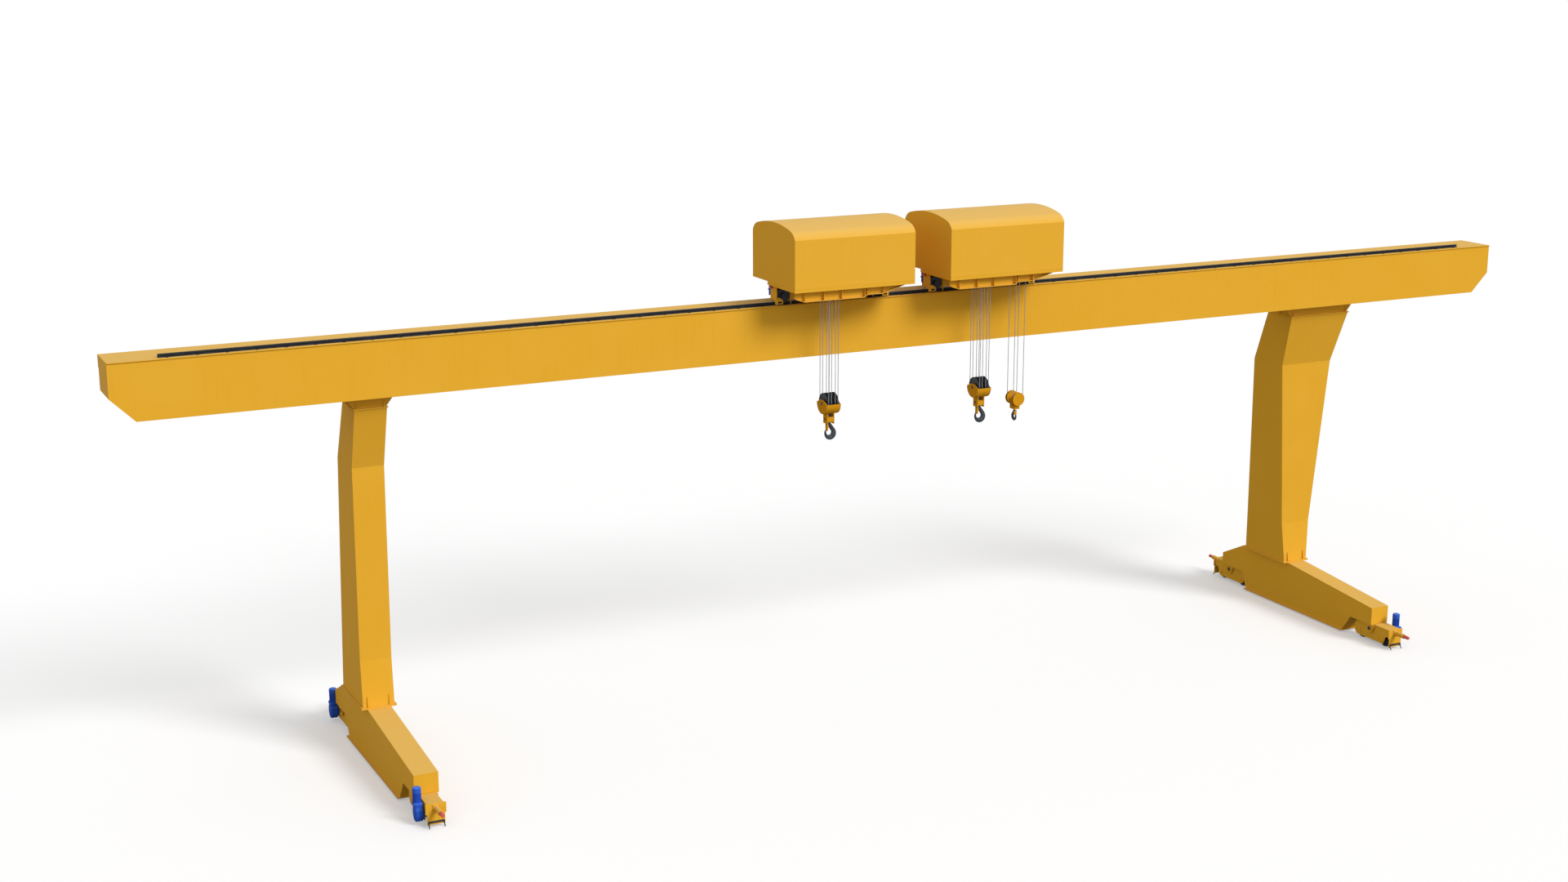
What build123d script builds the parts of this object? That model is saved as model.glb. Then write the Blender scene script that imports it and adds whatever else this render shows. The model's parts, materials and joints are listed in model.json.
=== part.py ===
from build123d import *
import math
import os

# Gantry crane: one box girder on two bent box legs, two trolleys on its front edge.
# Millimetres. X runs along the girder, Y from front to back, Z up from the wheels' lowest point.
# The origin is on the floor, midway between the four bogies.

# Driving dimensions of the whole crane
girder_length = 36000
girder_overhang = 5360
girder_height = 1240
girder_width = 990
clear_height = 8340
bogie_pin_spacing = 5805
leg_spacing = girder_length - 2 * girder_overhang

# Clearances
running_gap = 0.3
moving_gap = 5
overrun = 20

# Main girder
girder_front = -342.5
end_chamfer = 505
top_plate_thickness = 16
top_plate_overhang = 25
girder_back = girder_front + girder_width
girder_top = clear_height + girder_height

# Trolley rail on the girder's top
rail_end_margin = 1025
rail_length = girder_length - 2 * rail_end_margin
rail_setback = 150
rail_height = 70
rail_foot_width = 110
rail_foot_thickness = 14
rail_head_width = 60
rail_head_height = 24
rail_web_thickness = 18
rail_y = girder_front + rail_setback
rail_top = girder_top + rail_height

# Strip along the girder's back edge that holds the trolleys down
guide_strip_height = 270
guide_strip_thickness = 20
guide_strip_y = girder_back + top_plate_overhang
guide_strip_bottom = girder_top - guide_strip_height

# Leg outline seen from the side, front face and back face at each level
leg_top_front = -26
leg_knee_front = 406
leg_low_knee_front = 498
leg_base_front = 412
leg_top_back = 934
leg_knee_back = 1563
leg_base_back = 2050
leg_knee_drop = 1357
leg_low_knee_rise = 1095

# Leg widths along the girder
rigid_leg_top_width = 1840
rigid_leg_knee_width = 1580
rigid_leg_low_knee_width = 888
rigid_leg_base_width = 732
flexible_leg_width = 706

# Leg head bracket and leg base plate
head_height = 278
head_plate_thickness = 20
head_plate_margin = 22
head_gusset_reach = 200
head_gusset_thickness = 25
head_rib_depth = 60
head_rib_thickness = 20
base_plate_thickness = 40
base_plate_margin = 42
base_gusset_height = 240
base_gusset_thickness = 20
base_gusset_inset = 110
leg_top_level = clear_height - head_height
leg_knee_level = leg_top_level - leg_knee_drop

# Ground beam outline seen from the side, its ends set out from the bogies' pins
beam_width = 530
beam_top_level = 1250
beam_flat_front_margin = 82
beam_flat_back_margin = 212
beam_front_reach = 90.5
beam_front_top = 942
beam_back_reach = 262.5
beam_back_top = 811
beam_notch_level = 490
beam_front_notch_length = 702.5
beam_front_foot_length = 1002.5
beam_back_notch_length = 612.5
beam_back_foot_length = 812.5
beam_bottom_level = 54
beam_flange_thickness = 14
beam_flange_overhang = 60
beam_flange_end_margin = 30
bogie_pin_y = bogie_pin_spacing / 2
beam_flat_front = leg_base_front - beam_flat_front_margin
beam_flat_back = leg_base_back + beam_flat_back_margin
beam_front = -bogie_pin_y - beam_front_reach
beam_back = bogie_pin_y + beam_back_reach
beam_front_notch = beam_front_notch_length - bogie_pin_y
beam_front_foot = beam_front_foot_length - bogie_pin_y
beam_back_notch = bogie_pin_y - beam_back_notch_length
beam_back_foot = bogie_pin_y - beam_back_foot_length
leg_low_knee_level = beam_top_level + leg_low_knee_rise

# Pivot ears under the beam's ends
pivot_level = 385
ear_width = 350
ear_radius = 120
ear_thickness = 30
ear_offset = 195
pin_radius = 45
pin_head_radius = 62
pin_head_thickness = 12

# Bogie
wheelbase = 840
wheel_flange_radius = 215
wheel_tread_radius = 190
wheel_tread_width = 90
wheel_flange_thickness = 20
wheel_hub_radius = 75
wheel_hub_width = 300
wheel_dish_depth = 28
wheel_dish_margin = 26
axle_radius = 45
axle_end_reach = 4
bogie_side_offset = 160
bogie_side_thickness = 20
bogie_side_bottom = 90
bogie_top = 458
bogie_top_thickness = 12
bogie_inner_reach = 600
bogie_inner_round = 150
bogie_wheel_cover = 470
bogie_rise_reach = 560
bogie_rise_level = 300
bogie_end_rise_level = 330
end_box_gap = 27
end_box_top = 510
end_plate_reach = 697.5
end_plate_thickness = 20
end_plate_width = 440
end_plate_top = 525
end_plate_bottom = 70
end_plate_waist_level = 300
end_plate_waist_width = 380
spacer_half_length = 180
spacer_bottom = 150
spacer_top = 320

# Sweeper on the end plate
sweeper_level = 130
sweeper_bar_width = 344
sweeper_bar_height = 44
sweeper_bar_depth = 16
prong_radius = 11
prong_offset = 165
prong_kick = 46
prong_bottom = 8

# Buffer on the end plate
buffer_level = 430
buffer_base_size = 150
buffer_base_thickness = 16
buffer_tube_radius = 55
buffer_tube_length = 300
buffer_tip_radius = 42
buffer_reach = 480
buffer_tip_round = 18

# Travel drive beside each outer wheel
gearbox_depth = 190
gearbox_half_width = 135
gearbox_foot_half_width = 70
gearbox_top = 495
gearbox_taper_level = 205
gearbox_bottom = 92
gearbox_edge_chamfer = 14
gearbox_bore_radius = 60
gearbox_bore_depth = 30
motor_collar_depth = 200
motor_collar_width = 244
motor_collar_height = 95
motor_collar_round = 40
motor_radius = 90
motor_top = 895
motor_top_round = 34
motor_cowl_height = 96
motor_cowl_step = 3
motor_offset = 105

# Trolley, seen from its own middle
trolley_1_x = -1823
trolley_2_x = 2170
trolley_length = 3050
deck_overhang = 1075
deck_back_reach = 172.5
deck_rise = 380
deck_height = 80
deck_plate_thickness = 12
main_slot_length = 350
main_slot_width = 530
aux_slot_length = 360
aux_slot_width = 380
deck_front = girder_front - deck_overhang
deck_back = rail_y + deck_back_reach
deck_bottom = rail_top + deck_rise
deck_top = deck_bottom + deck_height

# Trolley wheels and their boxes, heights measured from the rail's top
trolley_wheel_x = 1250
trolley_tread_radius = 145
trolley_flange_radius = 163
trolley_tread_width = 70
trolley_flange_thickness = 18
trolley_hub_radius = 55
trolley_hub_width = 140
trolley_axle_radius = 35
cheek_offset = 75
cheek_thickness = 15
cheek_half_length = 150
cheek_rise = 50
end_cheek_x = 1433
end_cheek_thickness = 14
end_cheek_front = -138
end_cheek_back = 178
end_cheek_foot_back = -16
end_cheek_foot_drop = 50
inner_cheek_x = 1071
inner_cheek_front = -88
inner_cheek_back = 92
rail_notch_gap = 12
guard_length = 150
guard_height = 85
guard_peak_x = 60
guard_peak_height = 150
guard_drop = 40
guard_slot_length = 100
guard_slot_height = 42
guard_slot_rise = 18
trolley_wheel_z = rail_top + trolley_tread_radius + running_gap
cheek_bottom = rail_top + cheek_rise
end_cheek_foot_bottom = rail_top - end_cheek_foot_drop
guard_bottom = rail_top - guard_drop

# Arms that reach behind the girder
arm_x = 1000
arm_width = 100
arm_post_gap = 17.5
arm_post_thickness = 20
arm_post_drop = 120
guide_roller_radius = 52
guide_roller_width = 42
guide_roller_pin_radius = 16
arm_reach = guide_strip_y + guide_strip_thickness + arm_post_gap + arm_post_thickness
arm_post_bottom = guide_strip_bottom - arm_post_drop

# Hood over the trolley, its roof measured from the walls' top
hood_back_margin = 17.5
hood_wall_height = 1095
hood_bend_inset = 93
hood_bend_rise = 115
hood_shoulder_inset = 229
hood_shoulder_rise = 184
hood_crest_rise = 290
hood_sheet = 6
hood_back = arm_reach + hood_back_margin

# Front beam under the deck, depths measured from the deck's underside
front_beam_setback = 87.5
front_beam_width = 92
front_beam_plate = 12
front_beam_depth = 235
front_beam_step_depth = 180
front_beam_left_depth = 160
front_beam_left = -1450
front_beam_left_foot = -1235
front_beam_right_foot = 290
front_beam_step = 350
front_beam_step_end = 760
front_beam_right = 1380
front_beam_middle_ribs = (-750, -300)
front_beam_front = deck_front + front_beam_setback
front_beam_back = front_beam_front + front_beam_width
front_beam_bottom = deck_bottom - front_beam_depth
front_beam_step_level = deck_bottom - front_beam_step_depth
front_beam_left_level = deck_bottom - front_beam_left_depth

# Trolley travel drive
trolley_gearbox_length = 290
trolley_gearbox_depth = 115
trolley_gearbox_rise = 70
trolley_gearbox_height = 180
trolley_motor_x = 1360
trolley_motor_y = 292
trolley_motor_radius = 68
trolley_motor_rise = 115
trolley_motor_height = 333
trolley_motor_round = 22
trolley_gearbox_bottom = rail_top + trolley_gearbox_rise
trolley_gearbox_top = trolley_gearbox_bottom + trolley_gearbox_height
trolley_motor_bottom = rail_top + trolley_motor_rise
trolley_motor_top = trolley_motor_bottom + trolley_motor_height

# Trolley buffers
trolley_buffer_y = 75
trolley_buffer_rise = 335
trolley_buffer_radius = 36
trolley_buffer_length = 70
trolley_buffer_round = 14
trolley_buffer_z = rail_top + trolley_buffer_rise

# Hook positions, heights measured down from the deck's underside
hook_reach = 600
main_hook_x = -420
aux_hook_x = 585
main_pin_drop = 2670
aux_pin_drop = 3046
hook_y = girder_front - hook_reach
main_pin_level = deck_bottom - main_pin_drop
aux_pin_level = deck_bottom - aux_pin_drop

# Rope
rope_radius = 8
main_drum_rise = 300
aux_drum_rise = 220
drum_cheek_thickness = 20
drum_cheek_gap = 8
drum_cheek_margin = 60
drum_shaft_radius = 40
aux_drum_length = 400

# Main hook block, heights measured from the sheave pin
sheave_radius = 235
sheave_rope_radius = 220
sheave_width = 40
inner_sheave_offset = 48
outer_sheave_offset = 118
sheave_web_thickness = 18
sheave_hub_radius = 66
groove_wall_share = 0.18
block_pin_radius = 40
cover_half_width = 180
cover_side_thickness = 15
cover_radius = 251
cover_sheet = 10
cover_ear_rise = 78
cover_ear_half_width = 80
hanger_offset = 70
hanger_thickness = 20
hanger_width = 210
hanger_bottom = -480
crosshead_top = -322
crosshead_bottom = -432
crosshead_depth = 200
trunnion_radius = 36
trunnion_reach = 12
hook_bowl_level = -690

# Auxiliary hook block
aux_sheave_radius = 142
aux_sheave_rope_radius = 130
aux_sheave_width = 44
aux_sheave_offset = 134
aux_cover_radius = 160
aux_cover_sheet = 10
aux_pin_radius = 30
aux_yoke_half_width = 100
aux_yoke_plate = 16
aux_yoke_length = 150
aux_yoke_bottom = -255
aux_crosshead_top = -190
aux_hook_bowl_level = -428

# Hook, from the middle of its bowl
hook_bowl_radius = 68
hook_back_radius = 155
hook_back_shift = 40
hook_back_drop = 38
hook_thickness = 76
hook_edge_chamfer = 14
hook_shank_radius = 30
hook_neck_top = 232
hook_neck_inner_level = 105
hook_neck_inner_shift = -2
hook_tip_level = 52
hook_tip_thickness = 26
hook_nut_radius = 50
hook_nut_height = 58
hook_shank_above_nut = 6
aux_hook_share = 0.68

# Angles on the hook's bowl, in degrees
hook_bowl_right_angle = 38
hook_tip_outer_angle = 164
hook_bottom_angle = -90

# Latch across the hook's throat, a channel whose flanges pass either side of the hook
latch_pivot_x = -52
latch_pivot_level = 190
latch_width = 96
latch_back = 11
latch_depth = 40
latch_foot_depth = 14
latch_shoulder_drop = 34
latch_sheet = 4.5
latch_length = 156
latch_pin_radius = 7
latch_ear_radius = 14
latch_lug_width = 26


def block(x_low, x_high, y_low, y_high, z_low, z_high):
    """A box between two opposite corners."""
    middle = Pos((x_low + x_high) / 2, (y_low + y_high) / 2, (z_low + z_high) / 2)
    return middle * Box(x_high - x_low, y_high - y_low, z_high - z_low)


def rod_x(radius, x_low, x_high, y, z):
    """A round bar along X."""
    return Pos((x_low + x_high) / 2, y, z) * Rot(0, 90, 0) * Cylinder(radius, x_high - x_low)


def rod_y(radius, y_low, y_high, x, z):
    """A round bar along Y."""
    return Pos(x, (y_low + y_high) / 2, z) * Rot(90, 0, 0) * Cylinder(radius, y_high - y_low)


def rod_z(radius, z_low, z_high, x, y):
    """A round bar along Z."""
    return Pos(x, y, (z_low + z_high) / 2) * Cylinder(radius, z_high - z_low)


def plate_yz(points, x_low, x_high):
    """An outline of (y, z) points, thick along X."""
    face = Plane.YZ * Polygon(*points, align=None)
    return Pos(x_low, 0, 0) * extrude(face, amount=x_high - x_low, dir=(1, 0, 0))


def plate_xz(points, y_low, y_high):
    """An outline of (x, z) points, thick along Y."""
    face = Plane.XZ * Polygon(*points, align=None)
    return Pos(0, y_low, 0) * extrude(face, amount=y_high - y_low, dir=(0, 1, 0))


def mirrored_y(shape, at_front):
    """The shape as drawn at the back, or its mirror image at the front."""
    return mirror(shape, about=Plane.XZ) if at_front else shape


def mirrored_x(shape, at_left):
    """The shape as drawn on the right, or its mirror image on the left."""
    return mirror(shape, about=Plane.YZ) if at_left else shape


def main_girder():
    """Closed box girder with chamfered lower ends and a top plate that stands proud."""
    half = girder_length / 2
    web_top = girder_top - top_plate_thickness
    outline = [
        (-half, web_top),
        (half, web_top),
        (half, clear_height + end_chamfer),
        (half - end_chamfer, clear_height),
        (end_chamfer - half, clear_height),
        (-half, clear_height + end_chamfer),
    ]
    box = plate_xz(outline, girder_front, girder_back)
    front = girder_front - top_plate_overhang
    back = girder_back + top_plate_overhang
    return box + block(-half, half, front, back, web_top, girder_top)


def trolley_rail():
    """Crane rail with a flat foot, a web and a head."""
    foot_top = girder_top + rail_foot_thickness
    head_bottom = rail_top - rail_head_height
    half_right = [
        (rail_foot_width / 2, girder_top),
        (rail_foot_width / 2, foot_top),
        (rail_web_thickness / 2, foot_top),
        (rail_web_thickness / 2, head_bottom),
        (rail_head_width / 2, head_bottom),
        (rail_head_width / 2, rail_top),
    ]
    outline = half_right + [(-y, z) for y, z in reversed(half_right)]
    return Pos(0, rail_y, 0) * plate_yz(outline, -rail_length / 2, rail_length / 2)


def guide_strip():
    """Strip hung from the top plate's back edge."""
    half = girder_length / 2
    back = guide_strip_y + guide_strip_thickness
    return block(-half, half, guide_strip_y, back, guide_strip_bottom, girder_top)


def leg(widths):
    """Bent box leg: its side outline met with its front outline, on a base plate with gussets."""
    base_level = beam_top_level + base_plate_thickness
    side = [
        (leg_top_front, leg_top_level),
        (leg_knee_front, leg_knee_level),
        (leg_low_knee_front, leg_low_knee_level),
        (leg_base_front, base_level),
        (leg_base_back, base_level),
        (leg_knee_back, leg_knee_level),
        (leg_top_back, leg_top_level),
    ]
    levels = (base_level, leg_low_knee_level, leg_knee_level, leg_top_level)
    right_edge = [(width / 2, level) for width, level in zip(widths, levels)]
    front = right_edge + [(-x, z) for x, z in reversed(right_edge)]
    reach = max(widths) / 2 + overrun
    body = plate_yz(side, -reach, reach) & plate_xz(front, leg_top_front, leg_base_back)

    half = widths[0] / 2
    margin = base_plate_margin
    front_edge, back_edge = leg_base_front - margin, leg_base_back + margin
    body += block(-half - margin, half + margin, front_edge, back_edge, beam_top_level, base_level)
    body += base_gussets(half, base_level)
    return body


def base_gussets(half_width, base_level):
    """Triangular ribs between the leg's faces and its base plate."""
    top = base_level + base_gusset_height
    rib = base_gusset_thickness / 2
    margin = base_plate_margin
    ribs = Part()
    for x in (base_gusset_inset - half_width, half_width - base_gusset_inset):
        front = [
            (leg_base_front - margin, base_level),
            (leg_low_knee_front, base_level),
            (leg_low_knee_front, top),
            (leg_base_front, top),
        ]
        back = [
            (leg_base_back + margin, base_level),
            (leg_base_back - margin, base_level),
            (leg_base_back - margin, top),
        ]
        ribs += plate_yz(front, x - rib, x + rib)
        ribs += plate_yz(back, x - rib, x + rib)
    return ribs


def leg_head(leg_width):
    """Bracket between a leg's top and the girder: a box, three wider plates and end ribs."""
    plate_top = leg_top_level + head_plate_thickness
    half = leg_width / 2
    margin = head_plate_margin
    front, back = leg_top_front, leg_top_back
    head = block(
        -half - margin, half + margin, front - margin, back + margin, leg_top_level, plate_top
    )
    head += block(-half, half, front + head_rib_depth, back - head_rib_depth, plate_top, clear_height)
    wing = [
        (-half, plate_top),
        (half, plate_top),
        (half + head_gusset_reach, clear_height),
        (-half - head_gusset_reach, clear_height),
    ]
    middle = (front + back) / 2
    for y in (front + head_rib_depth, middle, back - head_rib_depth):
        head += plate_xz(wing, y - head_gusset_thickness / 2, y + head_gusset_thickness / 2)
    for side in (-1, 1):
        x = side * (half - head_rib_depth)
        rib = head_rib_thickness / 2
        profile = [
            (front, plate_top),
            (back, plate_top),
            (back - head_rib_depth, clear_height),
            (front + head_rib_depth, clear_height),
        ]
        head += plate_yz(profile, x - rib, x + rib)
    return head


def ground_beam():
    """Deep box between its notched ends, with a bottom flange and pivot ears."""
    outline = [
        (beam_front, beam_front_top),
        (beam_flat_front, beam_top_level),
        (beam_flat_back, beam_top_level),
        (beam_back, beam_back_top),
        (beam_back, beam_notch_level),
        (beam_back_notch, beam_notch_level),
        (beam_back_foot, beam_bottom_level),
        (beam_front_foot, beam_bottom_level),
        (beam_front_notch, beam_notch_level),
        (beam_front, beam_notch_level),
    ]
    half = beam_width / 2
    beam = plate_yz(outline, -half, half)
    flange_half = half + beam_flange_overhang
    beam += block(
        -flange_half,
        flange_half,
        beam_front_foot - beam_flange_end_margin,
        beam_back_foot + beam_flange_end_margin,
        beam_bottom_level - beam_flange_thickness,
        beam_bottom_level,
    )
    for y in (-bogie_pin_y, bogie_pin_y):
        for side in (-1, 1):
            beam += pivot_ear(y, side)
    return beam


def pivot_ear(y, side):
    """Plate under the beam's end, rounded about the bogie's pin."""
    inner, outer = sorted((side * ear_offset, side * (ear_offset + ear_thickness)))
    shoulder = ear_width / 2
    outline = [
        (y - shoulder, beam_notch_level),
        (y + shoulder, beam_notch_level),
        (y + ear_radius, pivot_level),
        (y - ear_radius, pivot_level),
    ]
    ear = plate_yz(outline, inner, outer) + rod_x(ear_radius, inner, outer, y, pivot_level)
    return ear - rod_x(pin_radius + running_gap, inner - overrun, outer + overrun, y, pivot_level)


def bogie_frame(box_start):
    """Bogie at the origin's pin, its outer end towards +Y: sides, end box, end plate, pin, sweeper."""
    frame = bogie_sides(box_start) + bogie_covers(box_start) + end_plate() + sweeper()
    reach = ear_offset + ear_thickness + moving_gap
    frame += rod_x(pin_radius, -reach, reach, 0, pivot_level)
    for side in (-1, 1):
        inner, outer = sorted((side * reach, side * (reach + pin_head_thickness)))
        frame += rod_x(pin_head_radius, inner, outer, 0, pivot_level)
    return frame


def bogie_sides(box_start):
    """Two side plates, round at the inner end and raised at the outer one, bored for the axles."""
    axle_level = wheel_flange_radius
    outline = [
        (-bogie_inner_reach, bogie_side_bottom),
        (bogie_wheel_cover, bogie_side_bottom),
        (bogie_rise_reach, bogie_rise_level),
        (end_plate_reach, bogie_end_rise_level),
        (end_plate_reach, end_box_top),
        (box_start, end_box_top),
        (box_start, bogie_top),
        (-bogie_inner_reach, bogie_top),
    ]
    face = fillet(
        Polygon(*outline, align=None).vertices().sort_by(Axis.X)[:2], radius=bogie_inner_round
    )
    sides = Part()
    for side in (-1, 1):
        inner, outer = sorted(
            (side * bogie_side_offset, side * (bogie_side_offset + bogie_side_thickness))
        )
        plate = Pos(inner, 0, 0) * extrude(Plane.YZ * face, amount=outer - inner, dir=(1, 0, 0))
        for y in (-wheelbase / 2, wheelbase / 2):
            plate -= rod_x(
                axle_radius + running_gap, inner - overrun, outer + overrun, y, axle_level
            )
        sides += plate
    return sides


def bogie_covers(box_start):
    """Top plates between the sides and the spacer box that carries the pin."""
    inner = bogie_side_offset
    low_top = bogie_top - bogie_top_thickness
    high_top = end_box_top - bogie_top_thickness
    back_edge = bogie_inner_round - bogie_inner_reach
    covers = block(-inner, inner, back_edge, box_start, low_top, bogie_top)
    covers += block(-inner, inner, box_start, end_plate_reach, high_top, end_box_top)
    covers += block(
        -inner, inner, box_start, box_start + bogie_top_thickness, low_top, end_box_top
    )
    spacer_front, spacer_back = -spacer_half_length, spacer_half_length
    covers += block(-inner, inner, spacer_front, spacer_back, spacer_bottom, spacer_top)
    covers += block(-inner, inner, -pin_radius, pin_radius, spacer_top, low_top)
    return covers


def end_plate():
    """Plate across the bogie's outer end, narrower at its foot."""
    half = end_plate_width / 2
    waist = end_plate_waist_width / 2
    outline = [
        (-waist, end_plate_bottom),
        (waist, end_plate_bottom),
        (waist, end_plate_waist_level),
        (half, end_plate_waist_level),
        (half, end_plate_top),
        (-half, end_plate_top),
        (-half, end_plate_waist_level),
        (-waist, end_plate_waist_level),
    ]
    return plate_xz(outline, end_plate_reach, end_plate_reach + end_plate_thickness)


def sweeper():
    """Bar across the end plate's foot with two prongs bent outwards and down."""
    face = end_plate_reach + end_plate_thickness
    half = sweeper_bar_width / 2
    low = sweeper_level - sweeper_bar_height / 2
    high = sweeper_level + sweeper_bar_height / 2
    tool = block(-half, half, face, face + sweeper_bar_depth, low, high)
    for x in (-prong_offset, prong_offset):
        knee = (x, face + sweeper_bar_depth, end_plate_bottom)
        foot = (x, face + sweeper_bar_depth + prong_kick, prong_bottom + prong_radius)
        tool += rod_z(prong_radius, end_plate_bottom, sweeper_level, x, knee[1])
        tool += Pos(*knee) * Sphere(prong_radius)
        tool += slanted_rod(prong_radius, knee, foot)
    return tool


def slanted_rod(radius, start, end):
    """A round bar from one point to another."""
    run = Vector(*end) - Vector(*start)
    base = (Align.CENTER, Align.CENTER, Align.MIN)
    return Plane(start, z_dir=run) * Cylinder(radius, run.length, align=base)


def travel_wheel():
    """Double-flanged wheel on its axle, turned about X."""
    half_tread = wheel_tread_width / 2
    half_wheel = half_tread + wheel_flange_thickness
    half_hub = wheel_hub_width / 2
    end = bogie_side_offset + bogie_side_thickness + axle_end_reach
    rim_inside = wheel_tread_radius - wheel_dish_margin
    half_web = half_wheel - wheel_dish_depth
    right = [
        (0, wheel_tread_radius),
        (half_tread, wheel_tread_radius),
        (half_tread, wheel_flange_radius),
        (half_wheel, wheel_flange_radius),
        (half_wheel, rim_inside),
        (half_web, rim_inside - wheel_dish_margin),
        (half_web, wheel_hub_radius + wheel_dish_margin),
        (half_wheel, wheel_hub_radius),
        (half_hub, wheel_hub_radius),
        (half_hub, axle_radius),
        (end, axle_radius),
        (end, 0),
    ]
    outline = right + [(-x, r) for x, r in reversed(right)]
    return revolve(Plane.XZ * Polygon(*outline, align=None), Axis.X)


def travel_drive():
    """Vertical gear motor on the bogie's right side, at the origin's wheel."""
    inner = bogie_side_offset + bogie_side_thickness
    outer = inner + gearbox_depth
    outline = [
        (-gearbox_half_width, gearbox_top),
        (gearbox_half_width, gearbox_top),
        (gearbox_half_width, gearbox_taper_level),
        (gearbox_foot_half_width, gearbox_bottom),
        (-gearbox_foot_half_width, gearbox_bottom),
        (-gearbox_half_width, gearbox_taper_level),
    ]
    box = plate_yz(outline, inner, outer)
    box = chamfer(box.faces().sort_by(Axis.X)[-1].edges(), gearbox_edge_chamfer)
    axle_level = wheel_flange_radius
    box -= rod_x(gearbox_bore_radius, inner - overrun, inner + gearbox_bore_depth, 0, axle_level)

    x = inner + motor_offset
    collar = extrude(
        RectangleRounded(motor_collar_depth, motor_collar_width, motor_collar_round),
        amount=motor_collar_height,
    )
    box += Pos(x, 0, gearbox_top) * collar
    collar_top = gearbox_top + motor_collar_height
    motor = rod_z(motor_radius, collar_top, motor_top - motor_cowl_height, x, 0)
    cowl_radius = motor_radius + motor_cowl_step
    cowl = rod_z(cowl_radius, motor_top - motor_cowl_height, motor_top, x, 0)
    cowl = fillet(cowl.edges().sort_by(Axis.Z)[-1], radius=motor_top_round)
    return box + motor + cowl


def buffer():
    """Tube with a round tip on the end plate's face, pointing along +Y."""
    face = end_plate_reach + end_plate_thickness
    half = buffer_base_size / 2
    base_end = face + buffer_base_thickness
    tube_end = base_end + buffer_tube_length
    tip_end = face + buffer_reach
    body = block(-half, half, face, base_end, buffer_level - half, buffer_level + half)
    body += rod_y(buffer_tube_radius, base_end, tube_end, 0, buffer_level)
    tip = rod_y(buffer_tip_radius, tube_end, tip_end, 0, buffer_level)
    tip = fillet(tip.edges().sort_by(Axis.Y)[-1], radius=buffer_tip_round)
    return body + tip


def trolley_frame(has_aux):
    """Deck with its slots, the ribbed front beam, wheel boxes and the arms behind the girder."""
    half = trolley_length / 2
    plate_bottom = deck_top - deck_plate_thickness
    sheet = deck_plate_thickness
    frame = block(-half, half, deck_front, deck_back, deck_bottom, deck_top)
    frame -= block(
        sheet - half, half - sheet, deck_front + sheet, deck_back - sheet, deck_bottom, plate_bottom
    )
    frame -= rope_slot(main_hook_x, main_slot_length, main_slot_width)
    if has_aux:
        frame -= rope_slot(aux_hook_x, aux_slot_length, aux_slot_width)
    frame += front_beam()
    for at_left in (False, True):
        frame += mirrored_x(wheel_box(), at_left)
        frame += mirrored_x(rear_arm(), at_left)
    return frame


def rope_slot(x, length, width):
    """Cut through the deck that a set of ropes passes."""
    half_length, half_width = length / 2, width / 2
    return block(
        x - half_length, x + half_length, hook_y - half_width, hook_y + half_width,
        deck_bottom, deck_top + overrun,
    )


def front_beam():
    """Channel under the deck's front part, deep in the middle, with ribs across it."""
    top = deck_top - deck_plate_thickness

    def outline(rise):
        return [
            (front_beam_left, top),
            (front_beam_left, front_beam_left_level + rise),
            (front_beam_left_foot, front_beam_bottom + rise),
            (front_beam_right_foot, front_beam_bottom + rise),
            (front_beam_step, front_beam_step_level + rise),
            (front_beam_step_end, front_beam_step_level + rise),
            (front_beam_right, deck_bottom + rise),
            (front_beam_right, top),
        ]

    full = plate_xz(outline(0), front_beam_front, front_beam_back)
    web_face = front_beam_back - front_beam_plate
    beam = full - plate_xz(outline(front_beam_plate), front_beam_front, web_face)
    ribs = (front_beam_left_foot, *front_beam_middle_ribs, front_beam_right_foot)
    for x in (*ribs, front_beam_step, front_beam_step_end):
        rib = block(
            x, x + front_beam_plate, front_beam_front, front_beam_back, front_beam_bottom, top
        )
        beam += full & rib
    return beam


def wheel_box():
    """Cheeks, end plates and rail guard round the right-hand wheel."""
    top = deck_top - deck_plate_thickness
    low, high = trolley_wheel_x - cheek_half_length, trolley_wheel_x + cheek_half_length
    face = rail_y + cheek_offset
    box = block(low, high, face, face + cheek_thickness, cheek_bottom, top)
    box -= rod_y(trolley_axle_radius, face, face + cheek_thickness, trolley_wheel_x, trolley_wheel_z)
    end = end_cheek_x + end_cheek_thickness
    front = rail_y + end_cheek_front
    box += block(end_cheek_x, end, front, rail_y + end_cheek_back, cheek_bottom, top)
    foot = block(
        end_cheek_x, end, front, rail_y + end_cheek_foot_back, end_cheek_foot_bottom, cheek_bottom
    )
    inner_cheek = block(
        inner_cheek_x - cheek_thickness, inner_cheek_x, rail_y + inner_cheek_front,
        rail_y + inner_cheek_back, end_cheek_foot_bottom, top,
    )
    reach = rail_foot_width / 2 + rail_notch_gap
    notch = block(
        inner_cheek_x - cheek_thickness - overrun, end + overrun, rail_y - reach, rail_y + reach,
        end_cheek_foot_bottom - overrun, rail_top + rail_notch_gap,
    )
    return box + (foot + inner_cheek - notch) + rail_guard(front)


def rail_guard(face):
    """Slotted plate before the wheel, low over the rail, against the right-hand end plate."""
    outline = [
        (end_cheek_x, guard_bottom),
        (end_cheek_x, guard_bottom + guard_peak_height),
        (end_cheek_x - guard_peak_x, guard_bottom + guard_peak_height),
        (end_cheek_x - guard_length, guard_bottom + guard_height),
        (end_cheek_x - guard_length, guard_bottom),
    ]
    slot_right = end_cheek_x - (guard_length - guard_slot_length) / 2
    slot_bottom = guard_bottom + guard_slot_rise
    return plate_xz(outline, face, face + cheek_thickness) - block(
        slot_right - guard_slot_length, slot_right, face - overrun, face + cheek_thickness + overrun,
        slot_bottom, slot_bottom + guard_slot_height,
    )


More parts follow.
